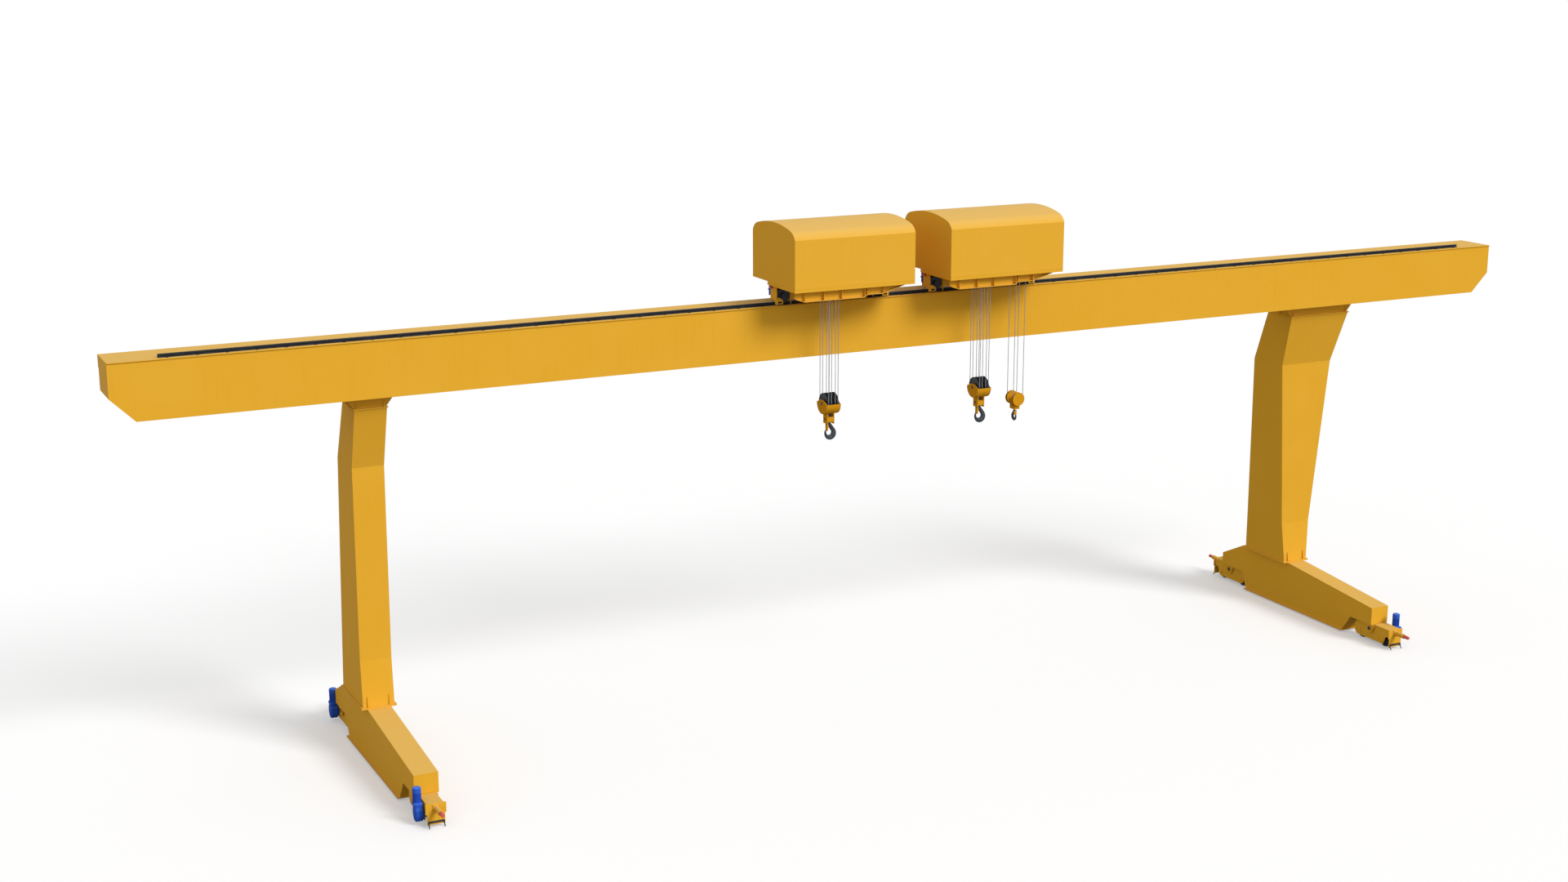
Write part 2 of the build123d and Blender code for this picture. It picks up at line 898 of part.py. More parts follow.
def rear_arm():
    """Arm over the girder with a post down its back and a roller under the guide strip."""
    low, high = arm_x - arm_width / 2, arm_x + arm_width / 2
    post_front = arm_reach - arm_post_thickness
    arm = block(low, high, deck_back, arm_reach, deck_bottom, deck_top)
    arm += block(low, high, post_front, arm_reach, arm_post_bottom, deck_bottom)
    level = guide_strip_bottom - moving_gap - guide_roller_radius
    roller_back = girder_back + moving_gap + guide_roller_width
    arm += rod_y(guide_roller_radius, girder_back + moving_gap, roller_back, arm_x, level)
    arm += rod_y(guide_roller_pin_radius, roller_back, post_front, arm_x, level)
    return arm


def trolley_hood():
    """Sheet cover with upright walls and an arched roof, open below."""
    half = trolley_length / 2
    outer = extrude(hood_outline(0, deck_top), amount=trolley_length, dir=(1, 0, 0))
    inside = hood_outline(hood_sheet, deck_top - overrun)
    inner = extrude(inside, amount=trolley_length - 2 * hood_sheet, dir=(1, 0, 0))
    return Pos(-half, 0, 0) * (outer - Pos(hood_sheet, 0, 0) * inner)


def hood_outline(inset, bottom):
    """Cross-section of the hood, drawn inset by the sheet for its inside."""
    front, back = deck_front + inset, hood_back - inset
    middle = (front + back) / 2
    eave = deck_top + hood_wall_height - inset
    bend = eave + hood_bend_rise
    shoulder = eave + hood_shoulder_rise
    crest = (middle, eave + hood_crest_rise)
    back_shoulder = (back - hood_shoulder_inset, shoulder)
    front_shoulder = (front + hood_shoulder_inset, shoulder)
    walls = Polyline((front, eave), (front, bottom), (back, bottom), (back, eave))
    rise = ThreePointArc((back, eave), (back - hood_bend_inset, bend), back_shoulder)
    arch = ThreePointArc(back_shoulder, crest, front_shoulder)
    fall = ThreePointArc(front_shoulder, (front + hood_bend_inset, bend), (front, eave))
    return Plane.YZ * make_face(walls + rise + arch + fall)


def trolley_wheels():
    """Two flanged wheels with their axles on the trolley rail."""
    half_tread = trolley_tread_width / 2
    half_wheel = half_tread + trolley_flange_thickness
    half_hub = trolley_hub_width / 2
    end = cheek_offset + cheek_thickness
    right = [
        (0, trolley_tread_radius),
        (half_tread, trolley_tread_radius),
        (half_tread, trolley_flange_radius),
        (half_wheel, trolley_flange_radius),
        (half_wheel, trolley_hub_radius),
        (half_hub, trolley_hub_radius),
        (half_hub, trolley_axle_radius),
        (end, trolley_axle_radius),
        (end, 0),
    ]
    outline = right + [(-x, r) for x, r in reversed(right)]
    wheel = Rot(0, 0, 90) * revolve(Plane.XZ * Polygon(*outline, align=None), Axis.X)
    return [Pos(x, rail_y, trolley_wheel_z) * wheel for x in (-trolley_wheel_x, trolley_wheel_x)]


def trolley_drive():
    """Gearbox behind the left wheel with an upright motor at the deck's end."""
    gearbox_left = -trolley_wheel_x - trolley_gearbox_length + cheek_half_length
    cheek_face = rail_y + cheek_offset + cheek_thickness
    gearbox = block(
        gearbox_left, gearbox_left + trolley_gearbox_length,
        cheek_face, cheek_face + trolley_gearbox_depth,
        trolley_gearbox_bottom, trolley_gearbox_top,
    )
    gearbox = chamfer(gearbox.edges().filter_by(Axis.Y), gearbox_edge_chamfer)
    x, y = -trolley_motor_x, rail_y + trolley_motor_y
    motor = rod_z(trolley_motor_radius, trolley_motor_bottom, trolley_motor_top, x, y)
    motor = fillet(motor.edges().sort_by(Axis.Z)[-1], radius=trolley_motor_round)
    flange_top = trolley_gearbox_top
    radius = trolley_motor_radius + trolley_motor_round
    flange = rod_z(radius, flange_top - deck_plate_thickness, flange_top, x, y)
    return gearbox + motor + flange


def trolley_buffers():
    """Round rubber tips on the end plates."""
    start = end_cheek_x + end_cheek_thickness
    tip = rod_x(
        trolley_buffer_radius, start, start + trolley_buffer_length,
        rail_y + trolley_buffer_y, trolley_buffer_z,
    )
    tip = fillet(tip.edges().sort_by(Axis.X)[-1], radius=trolley_buffer_round)
    return [tip, mirror(tip, about=Plane.YZ)]


def winch(has_aux):
    """Rope drums on cheeks over the deck's slots."""
    parts = [main_drum()]
    if has_aux:
        parts.append(aux_drum())
    return parts


def main_drum():
    """Drum along X over the main slot."""
    level = deck_top + main_drum_rise
    radius = sheave_rope_radius - rope_radius - running_gap
    half = main_slot_length / 2 + drum_cheek_gap
    drum = rod_x(radius, main_hook_x - half, main_hook_x + half, hook_y, level)
    foot = main_slot_width / 2 + drum_cheek_margin
    outline = [
        (hook_y - foot, deck_top),
        (hook_y + foot, deck_top),
        (hook_y + drum_shaft_radius + drum_cheek_margin, level + drum_cheek_margin),
        (hook_y - drum_shaft_radius - drum_cheek_margin, level + drum_cheek_margin),
    ]
    for side in (-1, 1):
        low, high = sorted((side * half, side * (half + drum_cheek_thickness)))
        drum += plate_yz(outline, main_hook_x + low, main_hook_x + high)
    return drum


def aux_drum():
    """Drum along Y over the auxiliary slot."""
    level = deck_top + aux_drum_rise
    radius = aux_sheave_rope_radius - rope_radius - running_gap
    half = aux_drum_length / 2
    drum = rod_y(radius, hook_y - half, hook_y + half, aux_hook_x, level)
    foot = aux_slot_length / 2 - drum_cheek_margin
    outline = [
        (aux_hook_x - foot, deck_top),
        (aux_hook_x + foot, deck_top),
        (aux_hook_x + drum_cheek_margin, level + drum_cheek_margin),
        (aux_hook_x - drum_cheek_margin, level + drum_cheek_margin),
    ]
    for side in (-1, 1):
        low, high = sorted((side * half, side * (half + drum_cheek_thickness)))
        drum += plate_xz(outline, hook_y + low, hook_y + high)
    return drum


def sheave(radius, rope_line, width, bore, hub_low, hub_high):
    """Grooved wheel turned about X, with its hub between two places on the pin."""
    half = width / 2
    floor = rope_line - rope_radius
    wall = width * groove_wall_share
    rim_inside = floor - 2 * rope_radius
    web = sheave_web_thickness / 2
    outline = [
        (-half, radius),
        (wall - half, radius),
        (-rope_radius, floor),
        (rope_radius, floor),
        (half - wall, radius),
        (half, radius),
        (half, rim_inside),
        (web, rim_inside - 2 * rope_radius),
        (web, sheave_hub_radius),
        (hub_high, sheave_hub_radius),
        (hub_high, bore),
        (hub_low, bore),
        (hub_low, sheave_hub_radius),
        (-web, sheave_hub_radius),
        (-web, rim_inside - 2 * rope_radius),
        (-half, rim_inside),
    ]
    return revolve(Plane.XZ * Polygon(*outline, align=None), Axis.X)


def sheave_places():
    """Middle of each main sheave along the pin."""
    return [-outer_sheave_offset, -inner_sheave_offset, inner_sheave_offset, outer_sheave_offset]


def main_sheaves():
    """Sheaves of a main block: the middle ones share a hub, the outer ones have their own."""
    bore = block_pin_radius + running_gap
    hanger_outside = hanger_offset + hanger_thickness + running_gap
    hanger_inside = hanger_offset - running_gap
    outside = cover_half_width - cover_side_thickness - running_gap
    hub_ends = (
        (-outside, -hanger_outside),
        (-hanger_inside, 0),
        (0, hanger_inside),
        (hanger_outside, outside),
    )
    parts = Part()
    for x, (low, high) in zip(sheave_places(), hub_ends):
        parts += Pos(x, 0, 0) * sheave(
            sheave_radius, sheave_rope_radius, sheave_width, bore, low - x, high - x
        )
    return parts


def main_block():
    """Cover trough, ear plates, hanger plates, crosshead and sheave pin of a main block."""
    inner = cover_half_width - cover_side_thickness
    trough = rod_x(cover_radius, -inner, inner, 0, 0)
    trough -= rod_x(cover_radius - cover_sheet, -inner - overrun, inner + overrun, 0, 0)
    trough &= block(-inner, inner, -cover_radius, cover_radius, -cover_radius, 0)
    body = trough
    side_outline = [
        (-cover_radius, 0),
        (-cover_ear_half_width, cover_ear_rise),
        (cover_ear_half_width, cover_ear_rise),
        (cover_radius, 0),
    ]
    for side in (-1, 1):
        low, high = sorted((side * inner, side * cover_half_width))
        plate = rod_x(cover_radius, low, high, 0, 0)
        plate &= block(low, high, -cover_radius, cover_radius, -cover_radius, 0)
        body += plate + plate_yz(side_outline, low, high)
        low, high = sorted((side * hanger_offset, side * (hanger_offset + hanger_thickness)))
        half = hanger_width / 2
        body += block(low, high, -half, half, hanger_bottom, -block_pin_radius)
        body += rod_x(half, low, high, 0, -block_pin_radius)
        reach = hanger_offset + hanger_thickness + trunnion_reach
        low, high = sorted((side * hanger_offset, side * reach))
        middle = (crosshead_top + crosshead_bottom) / 2
        body += rod_x(trunnion_radius, low, high, 0, middle)
    reach = cover_half_width + trunnion_reach
    body += rod_x(block_pin_radius, -reach, reach, 0, 0)
    depth = crosshead_depth / 2
    body += block(-hanger_offset, hanger_offset, -depth, depth, crosshead_bottom, crosshead_top)
    body -= rod_z(hook_shank_radius + running_gap, crosshead_bottom, crosshead_top, 0, 0)
    return body


def aux_block():
    """Yoke, crosshead, pin and round sheave covers of the auxiliary block, its pin along Y."""
    outer = aux_sheave_offset + aux_sheave_width / 2 + moving_gap
    inner = aux_sheave_offset - aux_sheave_width / 2 - moving_gap
    body = rod_y(aux_pin_radius, -outer, outer, 0, 0)
    half = aux_yoke_length / 2
    for side in (-1, 1):
        for near in (side * outer, side * (inner - aux_cover_sheet)):
            low, high = sorted((near, near + side * aux_cover_sheet))
            body += rod_y(aux_cover_radius, low, high, 0, 0)
        low, high = sorted((side * aux_yoke_half_width, side * (aux_yoke_half_width - aux_yoke_plate)))
        body += block(-half, half, low, high, aux_yoke_bottom, 0)
    depth = aux_yoke_half_width - aux_yoke_plate
    body += block(-half, half, -depth, depth, aux_yoke_bottom, aux_crosshead_top)
    bore = hook_shank_radius * aux_hook_share + running_gap
    return body - rod_z(bore, aux_yoke_bottom, aux_crosshead_top, 0, 0)


def aux_sheaves():
    """The auxiliary block's two sheaves on their pin along Y."""
    bore = aux_pin_radius + running_gap
    hub = aux_sheave_width / 2 + moving_gap - running_gap
    wheel = Rot(0, 0, 90) * sheave(
        aux_sheave_radius, aux_sheave_rope_radius, aux_sheave_width, bore, -hub, hub
    )
    return [Pos(0, y, 0) * wheel for y in (-aux_sheave_offset, aux_sheave_offset)]


def on_circle(x, z, radius, degrees):
    """Point on a circle in the hook's plane."""
    turn = math.radians(degrees)
    return (x + radius * math.cos(turn), z + radius * math.sin(turn))


def hook(share, nut_bottom):
    """Forged hook in the XZ plane about its bowl, tip towards -X, with its shank and nut."""
    bowl = hook_bowl_radius * share
    back = hook_back_radius * share
    back_x, back_z = hook_back_shift * share, -hook_back_drop * share
    shank = hook_shank_radius * share
    neck_top = hook_neck_top * share
    span = math.hypot(shank - back_x, neck_top - back_z)
    lean = math.degrees(math.atan2(neck_top - back_z, shank - back_x))
    tangent = lean - math.degrees(math.acos(back / span))
    shoulder = on_circle(back_x, back_z, back, tangent)
    bottom = on_circle(back_x, back_z, back, hook_bottom_angle)
    tip_outer = on_circle(back_x, back_z, back, hook_tip_outer_angle)
    tip_level = hook_tip_level * share
    bowl_right = on_circle(0, 0, bowl, hook_bowl_right_angle)
    neck = (hook_neck_inner_shift * share, hook_neck_inner_level * share)
    body_edge = Polyline((-shank, neck_top), (shank, neck_top), shoulder)
    outside = ThreePointArc(shoulder, bottom, tip_outer)
    tip = Polyline(
        tip_outer, (-bowl - hook_tip_thickness * share, tip_level), (-bowl, tip_level), (-bowl, 0)
    )
    inside = ThreePointArc((-bowl, 0), (0, -bowl), (bowl, 0))
    rise = ThreePointArc((bowl, 0), on_circle(0, 0, bowl, hook_bowl_right_angle / 2), bowl_right)
    throat = Polyline(bowl_right, neck, (-shank, neck_top))
    face = make_face(body_edge + outside + tip + inside + rise + throat)
    half = hook_thickness * share / 2
    body = Pos(0, -half, 0) * extrude(Plane.XZ * face, amount=2 * half, dir=(0, 1, 0))
    flats = body.faces().filter_by(Axis.Y)
    body = chamfer(flats.edges(), hook_edge_chamfer * share)
    nut_top = nut_bottom + hook_nut_height * share
    body += rod_z(shank, neck_top, nut_top + hook_shank_above_nut, 0, 0)
    body += rod_z(hook_nut_radius * share, nut_bottom, nut_top, 0, 0)
    return body + latch_lug(share)


def latch_lug(share):
    """Lug on the neck with the pin that the latch swings on."""
    x, z = latch_pivot_x * share, latch_pivot_level * share
    half = latch_lug_width * share / 2
    ear = latch_ear_radius * share
    lug = rod_y(ear, -half, half, x, z) + block(x, 0, -half, half, z - ear, z + ear)
    reach = latch_width * share / 2 + running_gap
    return lug + rod_y(latch_pin_radius * share, -reach, reach, x, z)


def latch(share):
    """Safety latch: a web across the throat between two flanges that hang on the lug's pin."""
    x, z = latch_pivot_x * share, latch_pivot_level * share
    half = latch_width * share / 2
    back = -latch_back * share
    sheet = latch_sheet * share
    ear = latch_ear_radius * share
    foot = -latch_length * share
    outline = [
        (back, 0),
        (ear, 0),
        (back + latch_depth * share, -latch_shoulder_drop * share),
        (back + latch_foot_depth * share, foot),
        (back, foot),
    ]
    channel = block(back, back + 2 * sheet, -half, half, foot, -ear - moving_gap * share)
    for low, high in ((-half, sheet - half), (half - sheet, half)):
        channel += plate_xz(outline, low, high) + rod_y(ear, low, high, 0, 0)
    bore = latch_pin_radius * share + running_gap
    return Pos(x, 0, z) * (channel - rod_y(bore, -half - overrun, half + overrun, 0, 0))


def main_ropes():
    """Rope falls from the sheaves' level up to the drum, from the pin's place at the origin."""
    top = deck_top + main_drum_rise - main_pin_level
    falls = []
    for x in sheave_places():
        for y in (-sheave_rope_radius, sheave_rope_radius):
            falls.append(rod_z(rope_radius, 0, top, x, y))
    return falls


def aux_ropes():
    """Rope falls of the auxiliary block, from its pin's place at the origin."""
    top = deck_top + aux_drum_rise - aux_pin_level
    falls = []
    for x in (-aux_sheave_rope_radius, aux_sheave_rope_radius):
        for y in (-aux_sheave_offset, aux_sheave_offset):
            falls.append(rod_z(rope_radius, 0, top, x, y))
    return falls


def placed(shape, x, y, z):
    """A shape or a list of shapes, moved."""
    if isinstance(shape, list):
        return [Pos(x, y, z) * item for item in shape]
    return Pos(x, y, z) * shape


def frame_nodes():
    """Girder, legs and ground beams."""
    half = leg_spacing / 2
    rigid_widths = (
        rigid_leg_base_width, rigid_leg_low_knee_width, rigid_leg_knee_width, rigid_leg_top_width
    )
    flexible_widths = (flexible_leg_width,) * len(rigid_widths)
    return {
        "main_girder": main_girder(),
        "trolley_rail": trolley_rail(),
        "guide_strip": guide_strip(),
        "rigid_leg": placed(leg(rigid_widths), half, 0, 0),
        "flexible_leg": placed(leg(flexible_widths), -half, 0, 0),
        "rigid_leg_head": placed(leg_head(rigid_leg_top_width), half, 0, 0),
        "flexible_leg_head": placed(leg_head(flexible_leg_width), -half, 0, 0),
        "right_ground_beam": placed(ground_beam(), half, 0, 0),
        "left_ground_beam": placed(ground_beam(), -half, 0, 0),
    }


def bogie_nodes(name, at_left, at_front):
    """One bogie's frame, wheels, drive and buffer."""
    x = -leg_spacing / 2 if at_left else leg_spacing / 2
    beam_end = -beam_front if at_front else beam_back
    box_start = beam_end + end_box_gap - bogie_pin_y
    y = -bogie_pin_y if at_front else bogie_pin_y
    sign = -1 if at_front else 1
    outer_y = y + sign * wheelbase / 2
    inner_y = y - sign * wheelbase / 2
    wheel = travel_wheel()
    drive = mirrored_x(travel_drive(), at_left)
    return {
        f"{name}_bogie_frame": placed(mirrored_y(bogie_frame(box_start), at_front), x, y, 0),
        f"{name}_outer_wheel": placed(wheel, x, outer_y, wheel_flange_radius),
        f"{name}_inner_wheel": placed(wheel, x, inner_y, wheel_flange_radius),
        f"{name}_drive": placed(drive, x, outer_y, 0),
        f"{name}_buffer": placed(mirrored_y(buffer(), at_front), x, y, 0),
    }


def trolley_nodes(number, x, has_aux):
    """One trolley with its hood, wheels, drive, buffers and winch."""
    return {
        f"trolley_{number}_frame": placed(trolley_frame(has_aux), x, 0, 0),
        f"trolley_{number}_hood": placed(trolley_hood(), x, 0, 0),
        f"trolley_{number}_wheels": placed(trolley_wheels(), x, 0, 0),
        f"trolley_{number}_drive": placed(trolley_drive(), x, 0, 0),
        f"trolley_{number}_buffers": placed(trolley_buffers(), x, 0, 0),
        f"trolley_{number}_winch": placed(winch(has_aux), x, 0, 0),
    }


def main_block_nodes(number, x):
    """A main block with its sheaves, hook, latch and ropes."""
    bowl = main_pin_level + hook_bowl_level
    nut_bottom = crosshead_top - hook_bowl_level + running_gap
    return {
        f"main_block_{number}": placed(main_block(), x, hook_y, main_pin_level),
        f"main_sheaves_{number}": placed(main_sheaves(), x, hook_y, main_pin_level),
        f"main_hook_{number}": placed(hook(1, nut_bottom), x, hook_y, bowl),
        f"main_latch_{number}": placed(latch(1), x, hook_y, bowl),
        f"main_ropes_{number}": placed(main_ropes(), x, hook_y, main_pin_level),
    }


def aux_block_nodes(x):
    """The auxiliary block with its sheaves, hook, latch and ropes, its hook open to the front."""
    bowl = aux_pin_level + aux_hook_bowl_level
    nut_bottom = aux_crosshead_top - aux_hook_bowl_level + running_gap
    turn = Rot(0, 0, 90)
    return {
        "aux_block": placed(aux_block(), x, hook_y, aux_pin_level),
        "aux_sheaves": placed(aux_sheaves(), x, hook_y, aux_pin_level),
        "aux_hook": placed(turn * hook(aux_hook_share, nut_bottom), x, hook_y, bowl),
        "aux_latch": placed(turn * latch(aux_hook_share), x, hook_y, bowl),
        "aux_ropes": placed(aux_ropes(), x, hook_y, aux_pin_level),
    }


nodes = frame_nodes()
for side_name, at_left in (("left", True), ("right", False)):
    for end_name, at_front in (("front", True), ("rear", False)):
        nodes.update(bogie_nodes(f"{side_name}_{end_name}", at_left, at_front))
nodes.update(trolley_nodes(1, trolley_1_x, has_aux=False))
nodes.update(trolley_nodes(2, trolley_2_x, has_aux=True))
nodes.update(main_block_nodes(1, trolley_1_x + main_hook_x))
nodes.update(main_block_nodes(2, trolley_2_x + main_hook_x))
nodes.update(aux_block_nodes(trolley_2_x + aux_hook_x))

os.makedirs("parts", exist_ok=True)
for node_name, shape in nodes.items():
    solids = shape if isinstance(shape, list) else shape.solids()
    whole = Compound(children=list(solids)) if len(solids) > 1 else solids[0]
    export_step(whole, f"parts/{node_name}.step")
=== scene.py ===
"""Gantry crane with two hooded trolleys: its looks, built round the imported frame, in metres."""

import json
import math

import bmesh
import bpy
from mathutils import Matrix, Vector


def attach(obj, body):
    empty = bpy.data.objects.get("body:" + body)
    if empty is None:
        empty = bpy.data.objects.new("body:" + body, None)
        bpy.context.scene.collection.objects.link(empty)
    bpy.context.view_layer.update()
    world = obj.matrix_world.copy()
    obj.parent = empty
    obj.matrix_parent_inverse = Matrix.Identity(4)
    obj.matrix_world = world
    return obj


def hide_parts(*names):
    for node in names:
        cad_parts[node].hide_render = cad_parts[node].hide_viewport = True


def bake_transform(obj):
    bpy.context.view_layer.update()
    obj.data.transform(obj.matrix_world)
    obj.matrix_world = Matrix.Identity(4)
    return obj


# Where the crane's parts are, from the same sizes as its solids
LEG_X = 12.64
BASE_PLATE_TOP = 1.29
BASE_BOLT_FRONT = 0.391
BASE_BOLT_BACK = 2.071
GIRDER_TOP = 9.58
RAIL_Y = -0.1925
# Bogies: a reach is along the crane's travel from the pin, a face is out from the bogie's middle
PIN_Y = 2.9025
PIN_Z = 0.385
PIN_FACE = 0.242
AXLE_Z = 0.215
AXLE_REACH = 0.42
CHEEK_FACE = 0.18
END_PLATE_REACH = 0.7175
BUFFER_Z = 0.43
# Trolleys: a half is out from the trolley's middle along the girder
TROLLEY_X = {1: -1.823, 2: 2.17}
TROLLEY_WHEEL_FRONT = -0.2825
TROLLEY_AXLE_Z = 9.7953
TROLLEY_AXLE_HALF = 1.25
WHEEL_BOX_HALF = 1.447
DECK_TOP = 10.11
HOOD_HALF = 1.525
HOOD_FRONT = -1.4175
HOOD_BACK = 0.7475
# Hooks, their blocks and the drums
HOOK_Y = -0.9425
MAIN_HOOK_DX = -0.42
AUX_HOOK_X = 2.755
MAIN_PIN_Z = 7.36
CROSSHEAD_Z = 6.983
AUX_PIN_Z = 6.984
MAIN_BOWL_Z = 6.67
AUX_BOWL_Z = 6.556
AUX_HOOK_SHARE = 0.68
MAIN_PIN_HALF = 0.192
CROSSHEAD_HALF = 0.102
COVER_HALF = 0.18
# Bottom and top of each kind of hook's nut, above the middle of its bowl
MAIN_NUT = (0.3683, 0.4323)
AUX_NUT = (0.2383, 0.2837)
MAIN_DRUM_Z = 10.41
AUX_DRUM_Z = 10.33
MAIN_DRUM_RADIUS = 0.2117
AUX_DRUM_RADIUS = 0.1217
ROPE_RADIUS = 0.008
BOGIES = [
    (f"{side}_{end}", sx * LEG_X, sy)
    for side, sx in (("left", -1), ("right", 1))
    for end, sy in (("front", -1), ("rear", 1))
]

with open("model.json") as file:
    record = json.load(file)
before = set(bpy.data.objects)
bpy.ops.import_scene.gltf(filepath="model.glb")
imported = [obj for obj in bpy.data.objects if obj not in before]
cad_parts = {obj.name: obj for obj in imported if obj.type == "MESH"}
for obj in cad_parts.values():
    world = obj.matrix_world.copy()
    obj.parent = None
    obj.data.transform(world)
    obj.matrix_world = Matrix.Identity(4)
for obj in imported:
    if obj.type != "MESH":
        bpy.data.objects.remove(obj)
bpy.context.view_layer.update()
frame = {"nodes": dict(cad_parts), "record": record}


# Finishes


def linear(hex_colour):
    """sRGB hex to the linear colour that a shader socket takes."""
    channels = [int(hex_colour[i : i + 2], 16) / 255 for i in (1, 3, 5)]
    lifted = [c / 12.92 if c <= 0.04045 else ((c + 0.055) / 1.055) ** 2.4 for c in channels]
    return (*lifted, 1.0)


def add(tree, kind, settings=None, values=None, links=None):
    """One node with its settings, its socket values and what feeds its sockets."""
    node = tree.nodes.new(kind)
    for name, setting in (settings or {}).items():
        setattr(node, name, setting)
    for socket, value in (values or {}).items():
        node.inputs[socket].default_value = value
    for socket, source in (links or {}).items():
        tree.links.new(source, node.inputs[socket])
    return node


def new_finish(name):
    """An empty material, its node tree and its Object coordinates."""
    finish = bpy.data.materials.new(name)
    finish.use_nodes = True
    tree = finish.node_tree
    tree.nodes.clear()
    place = add(tree, "ShaderNodeTexCoord").outputs["Object"]
    return finish, tree, place


def coat(finish, tree, shader):
    """Sends the shader to the material's surface."""
    add(tree, "ShaderNodeOutputMaterial", links={"Surface": shader.outputs["BSDF"]})
    return finish


def sprayed_enamel(name, colour, faded, grime, dust_and_sheen_colour, roughness=0.42):
    """Two-pack enamel sprayed on blasted plate: faint clouding, rain streaks, and on top faces
    dust with a painted sheen.
    """
    finish, tree, place = new_finish(name)
    # Clouding of the sprayed film, about a metre across
    cloud = add(
        tree, "ShaderNodeTexNoise", values={"Scale": 0.9, "Detail": 4.0, "Roughness": 0.55},
        links={"Vector": place},
    )
    # Rain streaks: 60 mm wide and over a metre long, down the plates
    stretched = add(
        tree, "ShaderNodeMapping", values={"Scale": (16.0, 16.0, 0.7)}, links={"Vector": place}
    )
    streak = add(
        tree, "ShaderNodeTexNoise", values={"Scale": 1.0, "Detail": 3.0, "Roughness": 0.6},
        links={"Vector": stretched.outputs["Vector"]},
    )
    # Dust specks, drawn at 30 mm because true ones would not show
    speck = add(
        tree, "ShaderNodeTexNoise", values={"Scale": 34.0, "Detail": 5.0, "Roughness": 0.7},
        links={"Vector": place},
    )
    cloud_share = add(
        tree, "ShaderNodeMapRange",
        values={"From Min": 0.38, "From Max": 0.68, "To Min": 0.0, "To Max": 0.4},
        links={"Value": cloud.outputs["Fac"]},
    )
    streak_share = add(
        tree, "ShaderNodeMapRange",
        values={"From Min": 0.52, "From Max": 0.8, "To Min": 0.0, "To Max": 0.07},
        links={"Value": streak.outputs["Fac"]},
    )
    clouded = add(
        tree, "ShaderNodeMix", {"data_type": "RGBA"}, {"A": linear(colour), "B": linear(faded)},
        {"Factor": cloud_share.outputs["Result"]},
    )
    soiled = add(
        tree, "ShaderNodeMix", {"data_type": "RGBA"}, {"B": linear(grime)},
        {"A": clouded.outputs["Result"], "Factor": streak_share.outputs["Result"]},
    )
    # Dust and painted sheen: whatever faces up is paled, both for dust lying there and for the
    # white reflection that top faces show under the light
    outward = add(tree, "ShaderNodeTexCoord").outputs["Normal"]
    upward = add(tree, "ShaderNodeSeparateXYZ", links={"Vector": outward}).outputs["Z"]
    dust_and_sheen_share = add(
        tree, "ShaderNodeMapRange", values={"From Min": 0.3, "From Max": 0.95, "To Max": 0.9},
        links={"Value": upward},
    )
    dusted_and_sheened = add(
        tree, "ShaderNodeMix", {"data_type": "RGBA"}, {"B": linear(dust_and_sheen_colour)},
        {"A": soiled.outputs["Result"], "Factor": dust_and_sheen_share.outputs["Result"]},
    )
    gloss = add(
        tree, "ShaderNodeMapRange",
        values={"To Min": roughness - 0.08, "To Max": roughness + 0.14},
        links={"Value": speck.outputs["Fac"]},
    )
    # Orange peel of the spray, far coarser than its true 1 mm so that it shows
    peel = add(
        tree, "ShaderNodeBump", values={"Strength": 0.12, "Distance": 0.002},
        links={"Height": speck.outputs["Fac"]},
    )
    # Thin plate pulled slightly wavy by its welds
    wave = add(
        tree, "ShaderNodeBump", values={"Strength": 0.25, "Distance": 0.01},
        links={"Height": cloud.outputs["Fac"], "Normal": peel.outputs["Normal"]},
    )
    shader = add(
        tree, "ShaderNodeBsdfPrincipled", values={"IOR": 1.5, "Specular IOR Level": 0.006},
        links={
            "Base Color": dusted_and_sheened.outputs["Result"],
            "Roughness": gloss.outputs["Result"],
            "Normal": wave.outputs["Normal"],
        },
    )
    return coat(finish, tree, shader)


def worn_steel(name, colour, worn, grain_mm, metallic, roughness, specular=0.5):
    """Bare or blackened steel: scale in patches with brighter rubbed places and a fine grain."""
    finish, tree, place = new_finish(name)
    patches = add(
        tree, "ShaderNodeTexNoise", values={"Scale": 7.0, "Detail": 6.0, "Roughness": 0.65},
        links={"Vector": place},
    )
    grain = add(
        tree, "ShaderNodeTexNoise",
        values={"Scale": 1000.0 / grain_mm, "Detail": 4.0, "Roughness": 0.6},
        links={"Vector": place},
    )
    share = add(
        tree, "ShaderNodeMapRange", values={"From Min": 0.42, "From Max": 0.72, "To Max": 0.8},
        links={"Value": patches.outputs["Fac"]},
    )
    tint = add(
        tree, "ShaderNodeMix", {"data_type": "RGBA"}, {"A": linear(colour), "B": linear(worn)},
        {"Factor": share.outputs["Result"]},
    )
    gloss = add(
        tree, "ShaderNodeMapRange",
        values={"To Min": roughness - 0.12, "To Max": roughness + 0.14},
        links={"Value": grain.outputs["Fac"]},
    )
    relief = add(
        tree, "ShaderNodeBump", values={"Strength": 0.35, "Distance": 0.0015},
        links={"Height": grain.outputs["Fac"]},
    )
    shader = add(
        tree, "ShaderNodeBsdfPrincipled",
        values={"Metallic": metallic, "Specular IOR Level": specular},
        links={
            "Base Color": tint.outputs["Result"],
            "Roughness": gloss.outputs["Result"],
            "Normal": relief.outputs["Normal"],
        },
    )
    return coat(finish, tree, shader)


